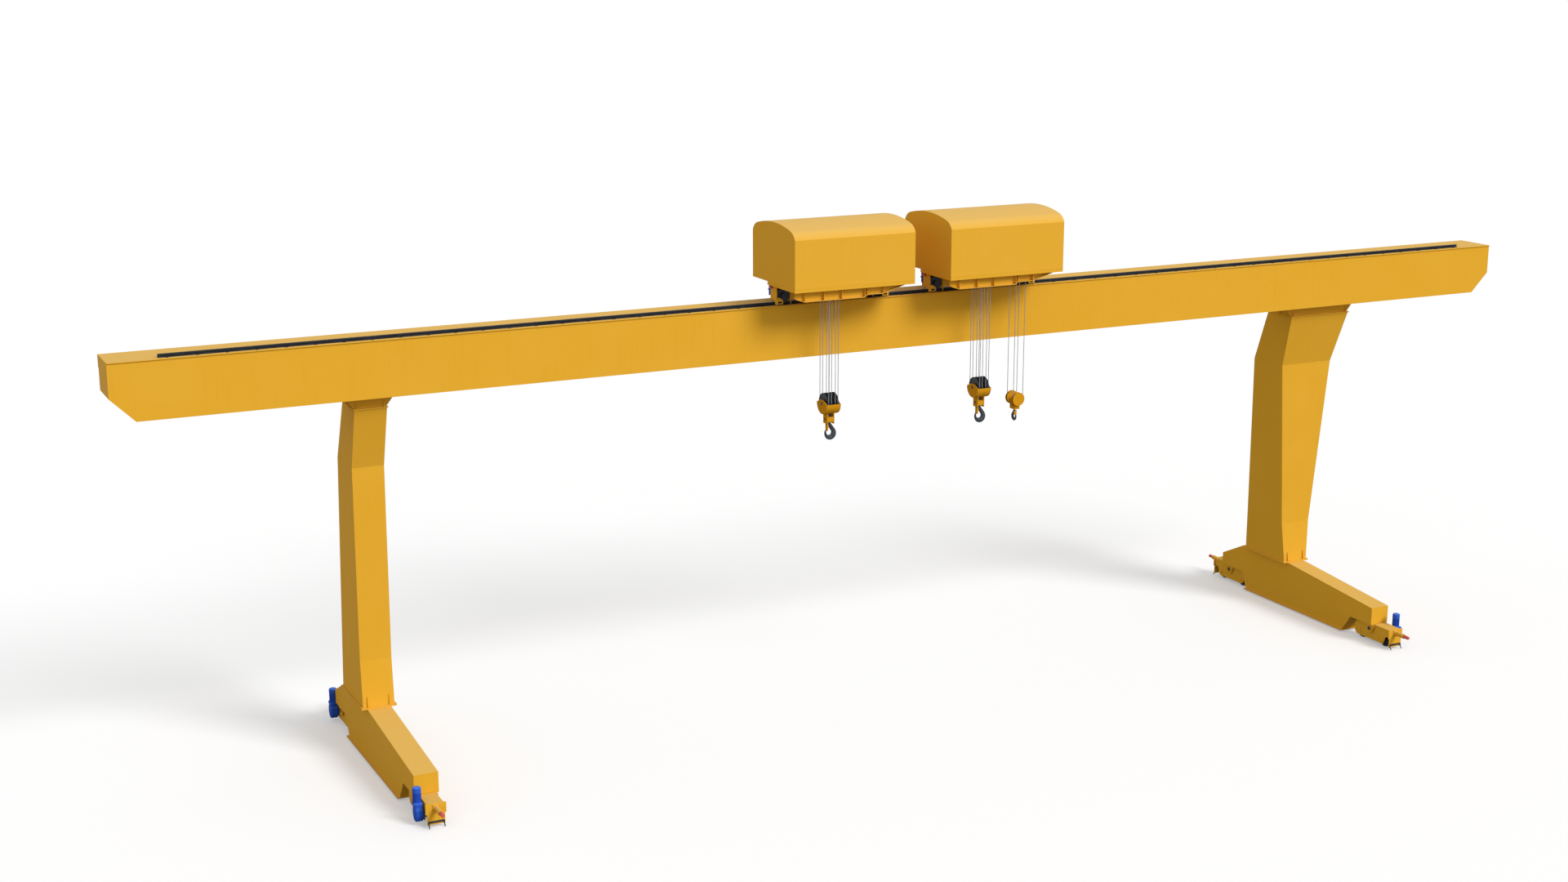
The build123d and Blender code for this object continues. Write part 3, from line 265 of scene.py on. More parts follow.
def moulded_rubber(name, colour, chalked):
    """Polyurethane buffer pad: saturated, matt, chalking in patches."""
    finish, tree, place = new_finish(name)
    bloom = add(
        tree, "ShaderNodeTexNoise", values={"Scale": 22.0, "Detail": 5.0}, links={"Vector": place}
    )
    tint = add(
        tree, "ShaderNodeMix", {"data_type": "RGBA"}, {"A": linear(colour), "B": linear(chalked)},
        {"Factor": bloom.outputs["Fac"]},
    )
    skin = add(
        tree, "ShaderNodeBump", values={"Strength": 0.2, "Distance": 0.001},
        links={"Height": bloom.outputs["Fac"]},
    )
    shader = add(
        tree, "ShaderNodeBsdfPrincipled", values={"Roughness": 0.6, "IOR": 1.5},
        links={"Base Color": tint.outputs["Result"], "Normal": skin.outputs["Normal"]},
    )
    return coat(finish, tree, shader)


# Crane yellow: a warm satin enamel, paled on its top faces by dust and a painted sheen
crane_enamel = sprayed_enamel("crane_yellow_enamel", "#e3a930", "#e6ae3a", "#b8822a", "#dab05c")
# The same paint on the hoods' thin sheet, a little smoother
hood_enamel = sprayed_enamel(
    "hood_yellow_enamel", "#e4ab34", "#e6af3d", "#bc862e", "#dbb262", 0.38
)
# Block yellow: the deeper ochre of the hook blocks, a darker copy of the crane yellow that paints
# shade into it; its top faces are paled by dust and a painted sheen
block_shaded_copy_enamel = sprayed_enamel(
    "block_ochre_painted_shade", "#d2931a", "#da9c20", "#7c5414", "#cf9a3a", 0.46
)
# Motor blue: machine enamel sprayed over castings, the smoothest of the four; its top is paled by
# dust and a painted highlight
motor_enamel = sprayed_enamel(
    "motor_blue_enamel", "#2f5ac6", "#3c69d2", "#1c3170", "#5079d6", 0.36
)
# Wheels, sheaves, pins and sweepers: forged steel, dark with mill scale and old grease
forged_steel = worn_steel("forged_steel_dark", "#22252b", "#353a42", 6.0, 0.15, 0.55, specular=0.3)
# Hooks: drop-forged, black oxide with grey rubbed faces
hook_steel = worn_steel("hook_steel_black", "#30343c", "#474d57", 9.0, 0.15, 0.52, specular=0.3)
# Trolley rail: hot-rolled, blue-black scale, rubbed where the wheels run
rail_steel = worn_steel("rail_steel_rolled", "#2a2c31", "#393c43", 14.0, 0.1, 0.7, specular=0.15)
# Rope: drawn wire under a film of grease
rope_steel = worn_steel("wire_rope_greased", "#8b8d95", "#a6a8b0", 4.0, 0.6, 0.45)
# Buffer pads: red polyurethane
buffer_rubber = moulded_rubber("buffer_red_polyurethane", "#bf3a2e", "#cf6455")

# The finish of each material slot in the record
SLOT_FINISH = {
    "crane_yellow": crane_enamel,
    "block_yellow": block_shaded_copy_enamel,
    "motor_blue": motor_enamel,
    "dark_steel": forged_steel,
    "wire_rope": rope_steel,
    "buffer_red": buffer_rubber,
}
# The hoods, the trolley rail and the hooks have a finish of their own
for subpart in frame["record"]["subparts"]:
    node = frame["nodes"][subpart["node"]]
    finish = SLOT_FINISH[subpart["material_slot"]]
    if "hood" in node.name:
        finish = hood_enamel
    if node.name == "trolley_rail":
        finish = rail_steel
    if "hook" in node.name and "latch" not in node.name:
        finish = hook_steel
    node.data.materials.clear()
    node.data.materials.append(finish)


# Making pieces


def finish_piece(name, shape, finish, body=None, smooth=False):
    """Makes an object at the origin from a bmesh, in one finish, riding on a body if it is given.

    Edges of more than 35 degrees stay sharp unless the whole piece is smooth."""
    bmesh.ops.recalc_face_normals(shape, faces=shape.faces)
    mesh = bpy.data.meshes.new(name)
    shape.to_mesh(mesh)
    shape.free()
    mesh.shade_smooth()
    if not smooth:
        mesh.set_sharp_from_angle(angle=math.radians(35))
    mesh.materials.append(finish)
    piece = bpy.data.objects.new(name, mesh)
    bpy.context.scene.collection.objects.link(piece)
    if body:
        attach(piece, body)
    return piece


def facing(axis):
    """Turns a shape made along Z to point along an axis."""
    return Vector((0, 0, 1)).rotation_difference(Vector(axis)).to_matrix().to_4x4()


def at(x, y, z, axis=(0, 0, 1)):
    """A place, with Z turned to an axis."""
    return Matrix.Translation((x, y, z)) @ facing(axis)


def edges_at(verts):
    """The edges that meet these vertices, each once, in the same order in every run."""
    return list(dict.fromkeys(e for v in verts for e in v.link_edges))


def round_edges(shape, edges, radius, segments):
    """Rounds edges off to a radius."""
    bmesh.ops.bevel(
        shape, geom=edges, offset=radius, segments=segments, affect="EDGES", profile=0.5,
        material=-1,
    )


def add_bar(shape, size, place, edge=0.0):
    """A rectangular bar centred on its place, with its edges eased where an edge is given."""
    bar = bmesh.ops.create_cube(shape, size=1.0, matrix=place @ Matrix.Diagonal((*size, 1.0)))
    if edge:
        round_edges(shape, edges_at(bar["verts"]), edge, 1)


def add_round(shape, radius, length, place, sides=20, end_radius=None):
    """A round bar or taper that stands on its place."""
    bmesh.ops.create_cone(
        shape, cap_ends=True, segments=sides, radius1=radius,
        radius2=radius if end_radius is None else end_radius, depth=length,
        matrix=place @ Matrix.Translation((0, 0, length / 2)),
    )


def add_bolt(shape, place, flats):
    """Washer and hexagon head with an eased top."""
    thick = flats * 0.12
    across = flats / math.cos(math.pi / 6) / 2
    add_round(shape, flats * 0.62, thick, place, 12)
    head = place @ Matrix.Translation((0, 0, thick))
    add_round(shape, across, flats * 0.36, head, 6)
    top = head @ Matrix.Translation((0, 0, flats * 0.36))
    add_round(shape, across, flats * 0.07, top, 6, across * 0.84)


def bolt_ring(shape, place, count, radius, level, flats, first=0.0):
    """Bolts evenly round a place, at a radius and a level along its axis, from a first angle."""
    for i in range(count):
        angle = math.tau / count * i + first
        spot = (radius * math.cos(angle), radius * math.sin(angle), level)
        add_bolt(shape, place @ Matrix.Translation(spot), flats)


def bolt_row(start, end, count):
    """Evenly spaced places from start to end."""
    start, end = Vector(start), Vector(end)
    return [start.lerp(end, i / (count - 1)) for i in range(count)]


def laid_ropes(places, low, high):
    """Falls of rope: a lobed section, turned as it rises, makes the first, and copies the rest."""
    # One turn in 100 mm, and grooves between the strands that go in by 22 % of the radius
    lay, lobes, steps_a_turn, groove = 0.1, 6, 9, 0.22
    shape = bmesh.new()
    foot = Vector((*places[0], low))
    ring = bmesh.ops.create_circle(
        shape, cap_ends=True, segments=2 * lobes, radius=ROPE_RADIUS,
        matrix=Matrix.Translation(foot),
    )["verts"]
    for vert in ring[::2]:
        vert.co += (vert.co - foot) * -groove
    turns = (high - low) / lay
    section = list(ring[0].link_faces)
    count = round(turns * steps_a_turn)
    bmesh.ops.spin(
        shape, geom=section, cent=foot, axis=(0, 0, 1), angle=math.tau * turns,
        steps=count, dvec=(0, 0, (high - low) / count), use_duplicate=False,
    )
    first = shape.verts[:] + shape.edges[:] + shape.faces[:]
    for place in places[1:]:
        copy = bmesh.ops.duplicate(shape, geom=first)["geom"]
        moved = [part for part in copy if isinstance(part, bmesh.types.BMVert)]
        bmesh.ops.translate(shape, vec=Vector((*place, low)) - foot, verts=moved)
    return shape


# Girder and legs

# Clips hold the rail's foot down every 0.6 m, so low that the trolleys' wheel boxes pass over
CLIP_COUNT = 57
CLIP_PITCH = 0.6
CLIP_THICKNESS = 0.008
rail_clips = bmesh.new()
for i in range(CLIP_COUNT):
    x = (i - (CLIP_COUNT - 1) / 2) * CLIP_PITCH
    for side in (-1, 1):
        y = RAIL_Y + side * 0.075
        clip = at(x, y, GIRDER_TOP + CLIP_THICKNESS / 2)
        add_bar(rail_clips, (0.06, 0.05, CLIP_THICKNESS), clip, 0.002)
        add_bolt(rail_clips, at(x, y + side * 0.006, GIRDER_TOP + CLIP_THICKNESS), 0.016)
finish_piece("rail_clips", rail_clips, forged_steel, "gantry")


def leg_base_bolts(name, x, half):
    """Bolts round the rim of a leg's base plate, five across and ten along."""
    shape = bmesh.new()
    left, right = x - half, x + half
    front, back, level = BASE_BOLT_FRONT, BASE_BOLT_BACK, BASE_PLATE_TOP
    rows = [bolt_row((left, y, level), (right, y, level), 5) for y in (front, back)]
    rows += [bolt_row((x, front, level), (x, back, level), 10)[1:-1] for x in (left, right)]
    for row in rows:
        for spot in row:
            add_bolt(shape, at(*spot), 0.02)
    finish_piece(name, shape, crane_enamel, "gantry")


leg_base_bolts("flexible_leg_base_bolts", -LEG_X, 0.374)
leg_base_bolts("rigid_leg_base_bolts", LEG_X, 0.387)

# Ropes


def rope_falls(name, node, x, spread_x, spread_y, low, high):
    """Falls of one hoist, from the drum to the block's sheaves."""
    places = [(x + dx, HOOK_Y + dy) for dx in spread_x for dy in (-spread_y, spread_y)]
    falls = finish_piece(name, laid_ropes(places, low, high), rope_steel, smooth=True)
    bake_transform(falls)
    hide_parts(node)


for k, trolley_x in TROLLEY_X.items():
    rope_falls(
        f"main_rope_falls_{k}", f"main_ropes_{k}",
        trolley_x + MAIN_HOOK_DX, (-0.118, -0.048, 0.048, 0.118), 0.22, MAIN_PIN_Z, MAIN_DRUM_Z,
    )
rope_falls(
    "aux_rope_falls", "aux_ropes",
    AUX_HOOK_X, (-0.13, 0.13), 0.134, AUX_PIN_Z, AUX_DRUM_Z,
)

# Hooks

# Stations down the main hook's forging in millimetres from its bowl: the inner and the outer edge,
# each across and up, and half the thickness
FORGING = [
    ((-30, 240), (30, 240), 30),
    ((-22, 190), (58, 194), 34),
    ((-10, 136), (104, 134), 37),
    ((12, 90), (143, 84), 38),
    ((42, 52), (176, 36), 38),
    ((66, 8), (194, -28), 38),
    ((58, -36), (178, -108), 38),
    ((30, -61), (118, -172), 38),
    ((-6, -68), (28, -193), 38),
    ((-42, -54), (-52, -163), 37),
    ((-62, -28), (-98, -106), 35),
    ((-68, 8), (-115, -30), 31),
    ((-70, 36), (-109, 18), 26),
    ((-74, 54), (-94, 50), 18),
]


def forged_hook(name, node, x, z, share, turn):
    """Hook blended through its sections, at a share of the main hook's size."""
    scale = share / 1000
    place = Matrix.Translation((x, HOOK_Y, z)) @ Matrix.Rotation(turn, 4, "Z")
    shape = bmesh.new()
    previous = None
    for inner, outer, half in FORGING:
        inner = Vector((inner[0], 0, inner[1])) * scale
        outer = Vector((outer[0], 0, outer[1])) * scale
        across = (outer - inner) / 2
        thick = Vector((0, half * scale, 0))
        along = across.cross(thick).normalized()
        # Subdivision shrinks a section by about a tenth, so each starts that much too large
        columns = [across * 1.1, thick * 1.1, along, (inner + outer) / 2]
        section = Matrix([(*column, 0) for column in columns]).transposed()
        section[3][3] = 1
        turned = place @ section @ Matrix.Rotation(math.pi / 8, 4, "Z")
        ring = bmesh.ops.create_circle(shape, segments=8, radius=1.0, matrix=turned)["verts"]
        edges = edges_at(ring)
        if previous:
            bmesh.ops.bridge_loops(shape, edges=previous + edges)
        previous = edges
    bmesh.ops.holes_fill(shape, edges=shape.edges)
    forging = finish_piece(name, shape, hook_steel, node, smooth=True)
    smoothing = forging.modifiers.new("smoothing", "SUBSURF")
    smoothing.levels = smoothing.render_levels = 2
    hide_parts(node)


def hook_fittings(name, body, x, z, share, turn, nut_low, nut_high):
    """Shank, nut with its locking plate, and the lug and pin that carry the latch."""
    scale = share / 1000
    place = Matrix.Translation((x, HOOK_Y, z)) @ Matrix.Rotation(turn, 4, "Z")
    latch_x, latch_z, latch_half, lug_half = -52, 190, 48.3, 13
    locking_plate = nut_high - 0.006
    shape = bmesh.new()

    def spot(px, py, pz, axis=(0, 0, 1)):
        return place @ at(px * scale, py * scale, pz * scale, axis)

    def along_latch_pin(radius, half):
        start = spot(latch_x, half, latch_z, (0, -1, 0))
        add_round(shape, radius * scale, 2 * half * scale, start, 20)

    add_round(shape, 30 * scale, nut_high - 225 * scale, spot(0, 0, 225), 28)
    add_round(shape, 50 * scale, locking_plate - nut_low, place @ at(0, 0, nut_low), 8)
    add_bar(shape, (80 * scale, 26 * scale, 0.01), place @ at(0, 0, locking_plate), 0.002)
    along_latch_pin(14, lug_half)
    along_latch_pin(7, latch_half)
    lug = (40 * scale, 2 * lug_half * scale, 27 * scale)
    add_bar(shape, lug, spot(-32, 0, latch_z), 3 * scale)
    finish_piece(name, shape, hook_steel, body)


for k, trolley_x in TROLLEY_X.items():
    hook = f"main_hook_{k}"
    x = trolley_x + MAIN_HOOK_DX
    forged_hook(f"hook_forging_{k}", hook, x, MAIN_BOWL_Z, 1, 0)
    hook_fittings(f"hook_fittings_{k}", hook, x, MAIN_BOWL_Z, 1, 0, *MAIN_NUT)
aux_place = (AUX_HOOK_X, AUX_BOWL_Z, AUX_HOOK_SHARE, math.pi / 2)
forged_hook("aux_hook_forging", "aux_hook", *aux_place)
hook_fittings("aux_hook_fittings", "aux_hook", *aux_place, *AUX_NUT)

# Hook blocks


def pin_end(shape, place, radius):
    """Turned end of a pin, with a small boss at its centre."""
    add_round(shape, radius, 0.003, place, 28)
    add_round(shape, radius * 0.3, 0.0045, place, 14)


for k, trolley_x in TROLLEY_X.items():
    x = trolley_x + MAIN_HOOK_DX
    ends = bmesh.new()
    screws = bmesh.new()
    for side in (-1, 1):
        out = (side, 0, 0)
        pin_end(ends, at(x + side * MAIN_PIN_HALF, HOOK_Y, MAIN_PIN_Z, out), 0.037)
        pin_end(ends, at(x + side * CROSSHEAD_HALF, HOOK_Y, CROSSHEAD_Z, out), 0.033)
        cover_x = x + side * COVER_HALF
        for dy in (-0.19, -0.1, 0.1, 0.19):
            add_bolt(screws, at(cover_x, HOOK_Y + dy, MAIN_PIN_Z - 0.05, out), 0.018)
    finish_piece(f"block_pin_ends_{k}", ends, forged_steel, f"main_block_{k}")
    finish_piece(f"block_screws_{k}", screws, block_shaded_copy_enamel, f"main_block_{k}")

# Bogies


def bogie_buffer(name, x, sy):
    """Buffer: bolted foot, tube with a collar, and a stepped polyurethane pad."""
    foot, foot_side, tube_length, bolt = 0.016, 0.15, 0.3, 0.057
    face = sy * (PIN_Y + END_PLATE_REACH)
    base = face + sy * foot

    def out(reach, dx=0, dz=0):
        return at(x + dx, base + sy * reach, BUFFER_Z + dz, (0, sy, 0))

    shape = bmesh.new()
    add_bar(shape, (foot_side, foot, foot_side), at(x, face + sy * foot / 2, BUFFER_Z), 0.003)
    add_round(shape, 0.064, 0.012, out(0), 32, 0.056)
    add_round(shape, 0.055, tube_length, out(0), 32)
    add_round(shape, 0.06, 0.018, out(0.27), 32)
    for dx in (-bolt, bolt):
        for dz in (-bolt, bolt):
            add_bolt(shape, out(0, dx, dz), 0.018)
    tube = finish_piece(f"{name}_buffer_tube", shape, crane_enamel, f"{name}_bogie")
    pad = bmesh.new()
    add_round(pad, 0.044, 0.02, out(tube_length), 32, 0.042)
    add_round(pad, 0.042, 0.128, out(tube_length + 0.02), 32)
    add_round(pad, 0.042, 0.01, out(tube_length + 0.148), 32, 0.038)
    add_round(pad, 0.038, 0.006, out(tube_length + 0.158), 32, 0.03)
    finish_piece(f"{name}_buffer_pad", pad, buffer_rubber, f"{name}_bogie")
    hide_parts(f"{name}_buffer")


def axle_caps(name, x, sy, drive_side):
    """Bolted bearing caps over the axle ends, where no gearbox covers them."""
    shape = bmesh.new()
    for reach in (-AXLE_REACH, AXLE_REACH):
        y = sy * (PIN_Y + reach)
        for side in (-1, 1):
            if reach > 0 and side == drive_side:
                continue
            cap = at(x + side * CHEEK_FACE, y, AXLE_Z, (side, 0, 0))
            add_round(shape, 0.078, 0.01, cap, 24)
            add_round(shape, 0.056, 0.006, cap @ Matrix.Translation((0, 0, 0.01)), 24, 0.05)
            bolt_ring(shape, cap, 6, 0.067, 0.01, 0.011)
    finish_piece(f"{name}_axle_caps", shape, crane_enamel, f"{name}_bogie")


def pin_heads(name, x, sy):
    """Dark pin heads with three screws each."""
    shape = bmesh.new()
    for side in (-1, 1):
        head = at(x + side * PIN_FACE, sy * PIN_Y, PIN_Z, (side, 0, 0))
        add_round(shape, 0.05, 0.004, head, 24)
        bolt_ring(shape, head, 3, 0.03, 0.004, 0.014, first=0.5)
    finish_piece(f"{name}_pin_heads", shape, forged_steel, f"{name}_bogie")


def bogie_sweeper(name, x, sy):
    """Sweeper in bare forged steel: its bar over the end plate's foot, and two bent prongs."""
    prong, bend_z = 0.0118, 0.07
    face = PIN_Y + END_PLATE_REACH
    lower = Vector((0, sy * 0.046, -0.051))
    shape = bmesh.new()
    add_bar(shape, (0.346, 0.018, 0.046), at(x, sy * (face + 0.008), 0.13), 0.003)
    for dx in (-0.165, 0.165):
        bend = (x + dx, sy * (face + 0.016), bend_z)
        add_round(shape, prong, 0.06, at(*bend), 14)
        bmesh.ops.create_uvsphere(
            shape, u_segments=14, v_segments=8, radius=prong, matrix=at(*bend)
        )
        add_round(shape, prong, lower.length, at(*bend, lower), 14)
    finish_piece(f"{name}_sweeper", shape, forged_steel, f"{name}_bogie")


# Outline of the gear case from its neck down: half its length along the travel, and the level
CASE_OUTLINE = [(0.09, 0.43), (0.092, 0.395), (0.135, 0.335), (0.135, 0.215), (0.07, 0.092)]
CASE_FACE = 0.21
CASE_DEPTH = 0.16


def gear_case(shape, place):
    """Cast case of the gears: its outline drawn out to its depth, with rounded edges."""
    outline = CASE_OUTLINE + [(-half, level) for half, level in reversed(CASE_OUTLINE)]
    corners = [shape.verts.new(place @ Vector((0, along, level))) for along, level in outline]
    back = shape.faces.new(corners)
    drawn = bmesh.ops.extrude_face_region(shape, geom=[back])["geom"]
    front = [part for part in drawn if isinstance(part, bmesh.types.BMVert)]
    depth = place.to_3x3() @ Vector((CASE_DEPTH, 0, 0))
    bmesh.ops.translate(shape, vec=depth, verts=front)
    round_edges(shape, edges_at(front + corners), 0.014, 3)


def gear_motor(name, x, sy, side):
    """Travel drive: cast case with ribs and covers, collar, and a finned motor under its cowl."""
    axle_y = sy * (PIN_Y + AXLE_REACH)
    case_x = x + side * CASE_FACE
    outer = case_x + side * CASE_DEPTH
    motor_x = x + side * 0.294
    motor_y = axle_y - sy * 0.04
    collar_z, collar_height = 0.45, 0.05
    collar_top = collar_z + collar_height / 2
    fins = 40
    out = (side, 0, 0)
    shape = bmesh.new()
    add_round(shape, 0.1, 0.05, at(x + side * CHEEK_FACE, axle_y, AXLE_Z, out), 40)
    case = Matrix.Translation((case_x, axle_y, 0))
    gear_case(shape, case @ Matrix.Diagonal((side, 1, 1, 1)))
    boss = at(outer - side * 0.004, axle_y, AXLE_Z, out)
    add_round(shape, 0.066, 0.01, boss, 40)
    add_round(shape, 0.04, 0.016, boss, 32, 0.036)
    bolt_ring(shape, boss, 6, 0.054, 0.01, 0.011)
    cover = at(outer - side * 0.003, axle_y, 0.318, out)
    add_bar(shape, (0.05, 0.15, 0.012), cover, 0.004)
    for dy in (-0.06, 0.06):
        add_bolt(shape, cover @ Matrix.Translation((0, dy, 0.006)), 0.012)
    # Cast ribs run down the case's two ends, each on its slope and then on its upright face
    rib, ease = 0.012, 0.003
    for sign in (-1, 1):
        for dx in (-0.045, 0, 0.045):
            middle = case_x + side * CASE_DEPTH / 2 + dx
            slope = Matrix.Translation((middle, axle_y + sign * 0.113, 0.365))
            lean = slope @ Matrix.Rotation(sign * 0.62, 4, "X")
            add_bar(shape, (rib, rib, 0.066), lean, ease)
            add_bar(shape, (rib, rib, 0.12), at(middle, axle_y + sign * 0.134, 0.275), ease)
    collar_place = at(motor_x, axle_y - sy * 0.015, collar_z)
    collar = bmesh.ops.create_cube(
        shape, matrix=collar_place @ Matrix.Diagonal((0.18, 0.236, collar_height, 1))
    )["verts"]
    upright = [e for e in edges_at(collar) if abs(e.verts[0].co.z - e.verts[1].co.z) > 0.01]
    round_edges(shape, upright, 0.04, 5)
    for dx in (-0.0481, 0.0481):
        for dy in (-0.0707, 0.0707):
            add_bolt(shape, at(motor_x + dx, motor_y + dy, collar_top), 0.016)
    add_round(shape, 0.088, 0.02, at(motor_x, motor_y, collar_top), 48, 0.084)
    add_round(shape, 0.082, 0.21, at(motor_x, motor_y, 0.49), 48)
    for i in range(fins):
        turned = at(motor_x, motor_y, 0.597) @ Matrix.Rotation(math.tau / fins * i, 4, "Z")
        add_bar(shape, (0.01, 0.0035, 0.196), turned @ Matrix.Translation((0.083, 0, 0)))
    cowl = bmesh.ops.create_cone(
        shape, cap_ends=True, segments=48, radius1=0.09, radius2=0.09, depth=0.12,
        matrix=at(motor_x, motor_y, 0.75),
    )["verts"]
    rim = [e for e in edges_at(cowl) if min(v.co.z for v in e.verts) > 0.8]
    round_edges(shape, rim, 0.032, 5)
    # The terminal box is on the motor's far side, where the photo's view doesn't reach
    far = at(motor_x, motor_y, 0.6) @ Matrix.Rotation(-math.pi / 6, 4, "Z")
    add_bar(shape, (0.085, 0.05, 0.085), far @ Matrix.Translation((0, 0.1, 0)), 0.006)
    add_bar(shape, (0.093, 0.01, 0.093), far @ Matrix.Translation((0, 0.127, 0)), 0.003)
    drive = finish_piece(f"{name}_gear_motor", shape, motor_enamel, f"{name}_bogie")
    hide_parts(f"{name}_drive")


for name, x, sy in BOGIES:
    side = math.copysign(1, x)
    bogie_buffer(name, x, sy)
    axle_caps(name, x, sy, side)
    pin_heads(name, x, sy)
    bogie_sweeper(name, x, sy)
    gear_motor(name, x, sy, side)

# Trolleys


def hood_trim(k, x):
    """Hem strip and rivets round the hood, and three panels of louvres in its back wall."""
    front, back = HOOD_FRONT, HOOD_BACK
    strip, sheet = 0.045, 0.004
    middle = DECK_TOP + strip / 2
    level = DECK_TOP + 0.022
    shape = bmesh.new()

    def rivets(start, end, count, out):
        for spot in bolt_row(start, end, count):
            add_round(shape, 0.008, 0.005, at(*spot, out), 6, 0.004)

    for sign, y in ((-1, front), (1, back)):
        add_bar(shape, (2 * HOOD_HALF, sheet, strip), at(x, y + sign * 0.001, middle))
        rivets((x - 1.48, y, level), (x + 1.48, y, level), 22, (0, sign, 0))
    for sign in (-1, 1):
        wall = x + sign * HOOD_HALF
        add_bar(shape, (sheet, 2.16, strip), at(wall + sign * 0.001, (front + back) / 2, middle))
        rivets((wall, front + 0.05, level), (wall, back - 0.05, level), 16, (sign, 0, 0))
    for panel in (-1.0, 0.0, 1.0):
        for i in range(7):
            blade = Matrix.Translation((x + panel, back + 0.008, DECK_TOP + 0.5 + i * 0.055))
            add_bar(shape, (0.42, sheet, 0.05), blade @ Matrix.Rotation(-0.5, 4, "X"), 0.001)
    finish_piece(f"hood_trim_{k}", shape, hood_enamel, f"trolley_{k}")


def drum_rope(name, body, x, z, radius, half, axis):
    """Rope wound on a drum as one helix, for half a length each way along its axis."""
    pitch, steps_a_turn, clearance = 0.0175, 24, 0.0002
    axis = Vector(axis)
    shape = bmesh.new()
    start = Vector((x, HOOK_Y, z)) - axis * half
    turns = 2 * half / pitch
    above = Vector((0, 0, radius + ROPE_RADIUS + clearance))
    ring = bmesh.ops.create_circle(
        shape, cap_ends=True, segments=6, radius=ROPE_RADIUS,
        matrix=Matrix.Translation(start + above) @ facing(axis.cross((0, 0, 1))),
    )["verts"]
    section = list(ring[0].link_faces)
    steps = round(turns * steps_a_turn)
    bmesh.ops.spin(
        shape, geom=section, cent=start, axis=axis, angle=math.tau * turns, steps=steps,
        dvec=axis * (2 * half / steps), use_duplicate=False,
    )
    finish_piece(name, shape, rope_steel, body, smooth=True)


def trolley_bolts(k, x):
    """Bolts of the wheel boxes' end plates, and the hub covers of the wheels."""
    shape = bmesh.new()
    hubs = bmesh.new()
    for sign in (-1, 1):
        wall = x + sign * WHEEL_BOX_HALF
        for dy in (-0.11, 0.02, 0.15):
            for z in (9.74, 9.99):
                add_bolt(shape, at(wall, RAIL_Y + dy, z, (sign, 0, 0)), 0.02)
        wheel_x = x + sign * TROLLEY_AXLE_HALF
        hub = at(wheel_x, TROLLEY_WHEEL_FRONT, TROLLEY_AXLE_Z, (0, -1, 0))
        add_round(hubs, 0.055, 0.012, hub, 24, 0.05)
        bolt_ring(hubs, hub, 6, 0.04, 0.012, 0.01)
    finish_piece(f"trolley_bolts_{k}", shape, crane_enamel, f"trolley_{k}")
    finish_piece(f"trolley_wheel_hubs_{k}", hubs, forged_steel, f"trolley_{k}")


def carriage_plates(k, x):
    """Web of the end carriage between the wheel boxes, and the side plate of the front beam."""
    plate, ease = 0.012, 0.001
    shape = bmesh.new()
    add_bar(shape, (2.111, plate, 0.398), at(x, RAIL_Y - 0.082, 9.899), ease)
    add_bar(shape, (plate, 0.388, 0.303), at(x - 1.229, -1.044, 9.9465), ease)
    finish_piece(f"carriage_plates_{k}", shape, crane_enamel, f"trolley_{k}")


for k, trolley_x in TROLLEY_X.items():
    hood_trim(k, trolley_x)
    trolley_bolts(k, trolley_x)
    carriage_plates(k, trolley_x)
    drum_rope(
        f"main_drum_rope_{k}", f"trolley_{k}", trolley_x + MAIN_HOOK_DX, MAIN_DRUM_Z,
        MAIN_DRUM_RADIUS, 0.165, (1, 0, 0),
    )
drum_rope(
    "aux_drum_rope", "trolley_2", AUX_HOOK_X, AUX_DRUM_Z, AUX_DRUM_RADIUS, 0.185, (0, 1, 0)
)

# Floor, light and camera


def seen_ray(tree):
    """One where a ray comes from the camera, a gloss or a clear body, and zero for cast light."""
    ray = add(tree, "ShaderNodeLightPath")
    seen = add(
        tree, "ShaderNodeMath", {"operation": "MAXIMUM"},
        links={0: ray.outputs["Is Camera Ray"], 1: ray.outputs["Is Glossy Ray"]},
    )
    through = add(
        tree, "ShaderNodeMath", {"operation": "MAXIMUM"},
        links={0: seen.outputs[0], 1: ray.outputs["Is Transmission Ray"]},
    )
    return through.outputs[0]


floor_shape = bmesh.new()
bmesh.ops.create_grid(floor_shape, x_segments=1, y_segments=1, size=1500)
floor_mesh = bpy.data.meshes.new("floor")
floor_shape.to_mesh(floor_mesh)
floor_shape.free()
floor = bpy.data.objects.new("floor", floor_mesh)
bpy.context.scene.collection.objects.link(floor)
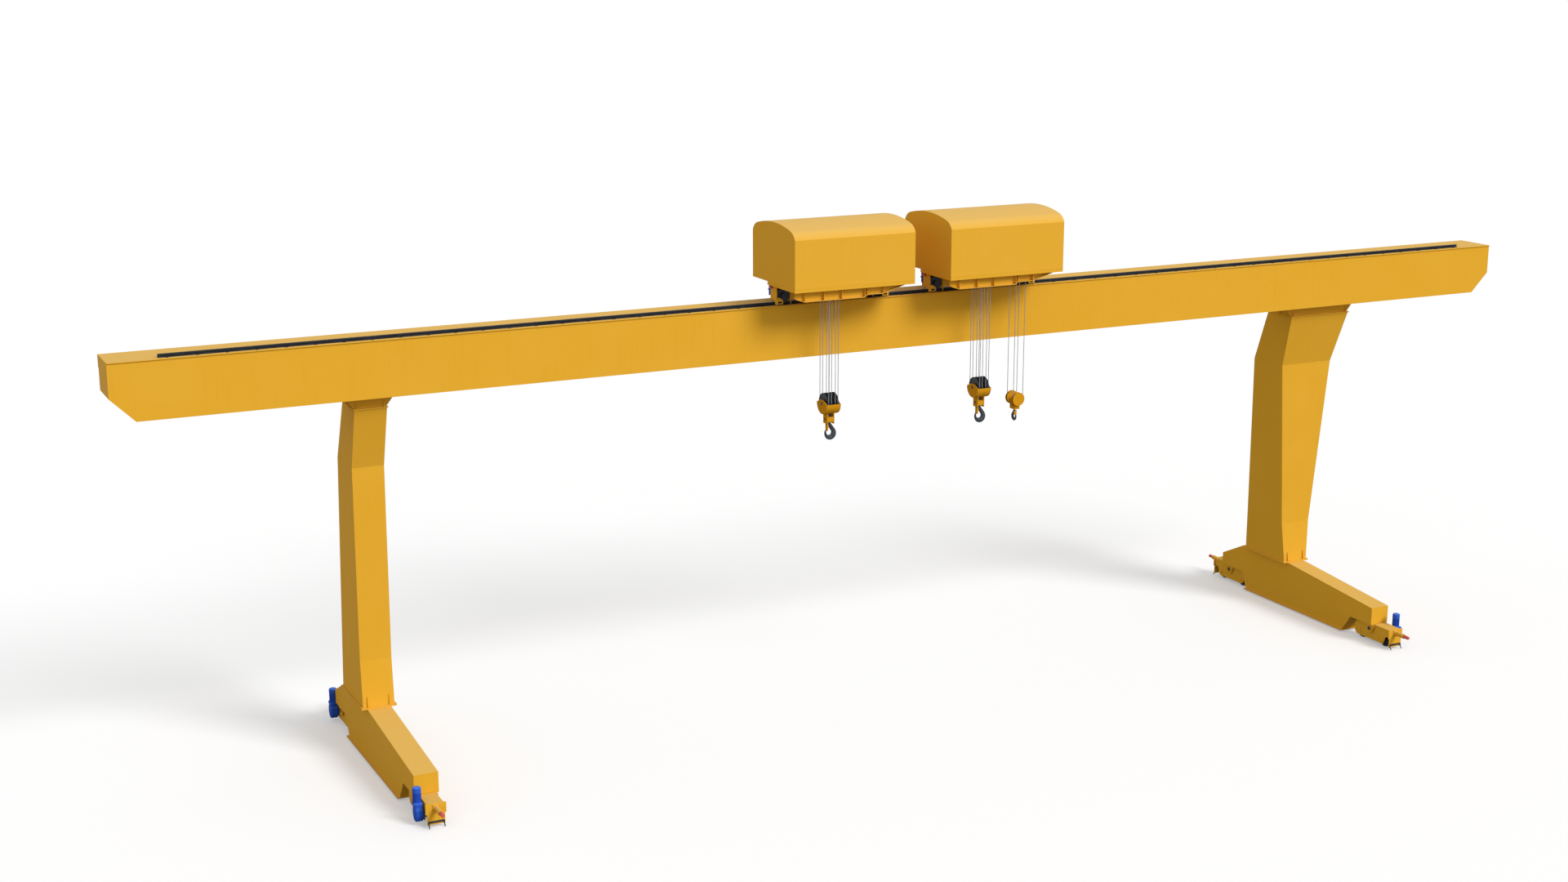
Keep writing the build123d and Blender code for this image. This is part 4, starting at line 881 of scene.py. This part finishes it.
# Seen directly or in a gloss the floor is near white; what it casts up on the crane is a mid grey
floor_paint, tree, _ = new_finish("studio_floor")
shown_paint = add(tree, "ShaderNodeBsdfDiffuse", values={"Color": linear("#d4d4d4")})
shown_glow = add(
    tree, "ShaderNodeEmission", values={"Color": linear("#ffffff"), "Strength": 0.32}
)
shown = add(
    tree, "ShaderNodeAddShader",
    links={0: shown_paint.outputs["BSDF"], 1: shown_glow.outputs["Emission"]},
)
cast = add(tree, "ShaderNodeBsdfDiffuse", values={"Color": linear("#868686")})
paint = add(
    tree, "ShaderNodeMixShader",
    links={0: seen_ray(tree), 1: cast.outputs["BSDF"], 2: shown.outputs["Shader"]},
)
add(tree, "ShaderNodeOutputMaterial", links={"Surface": paint.outputs["Shader"]})
floor_mesh.materials.append(floor_paint)

world = bpy.data.worlds.new("studio")
bpy.context.scene.world = world
world.use_nodes = True
tree = world.node_tree
tree.nodes.clear()
# The light it casts is brighter at the horizon than overhead, as from soft boxes round the crane
direction = add(tree, "ShaderNodeTexCoord").outputs["Generated"]
rise = add(tree, "ShaderNodeSeparateXYZ", links={"Vector": direction}).outputs["Z"]
cast_light = add(
    tree, "ShaderNodeMapRange", values={"To Min": 0.98, "To Max": 0.38}, links={"Value": rise}
)
strength = add(
    tree, "ShaderNodeMapRange", values={"To Max": 1.0},
    links={"Value": seen_ray(tree), "To Min": cast_light.outputs["Result"]},
)
sky = add(
    tree, "ShaderNodeBackground", values={"Color": linear("#ffffff")},
    links={"Strength": strength.outputs["Result"]},
)
add(tree, "ShaderNodeOutputWorld", links={"Surface": sky.outputs["Background"]})

sun_data = bpy.data.lights.new("key_light", "SUN")
sun_data.energy = 2.3
sun_data.angle = math.radians(24)
sun = bpy.data.objects.new("key_light", sun_data)
sun.rotation_euler = Vector((0.37, -0.68, 0.62)).to_track_quat("Z", "Y").to_euler()
bpy.context.scene.collection.objects.link(sun)

# Where the photo was taken from, worked out from the lines along the girder, beams and legs
camera_data = bpy.data.cameras.new("camera")
camera_data.lens = 50
camera_data.sensor_width = 36
camera_data.clip_end = 4000
camera = bpy.data.objects.new("camera", camera_data)
camera.location = (-24.6256, -44.0336, 18.1319)
camera.rotation_euler = (math.radians(90 - 13.52), 0, -math.radians(26.24))
bpy.context.scene.collection.objects.link(camera)
bpy.context.scene.camera = camera
bpy.context.scene.view_settings.view_transform = "Standard"
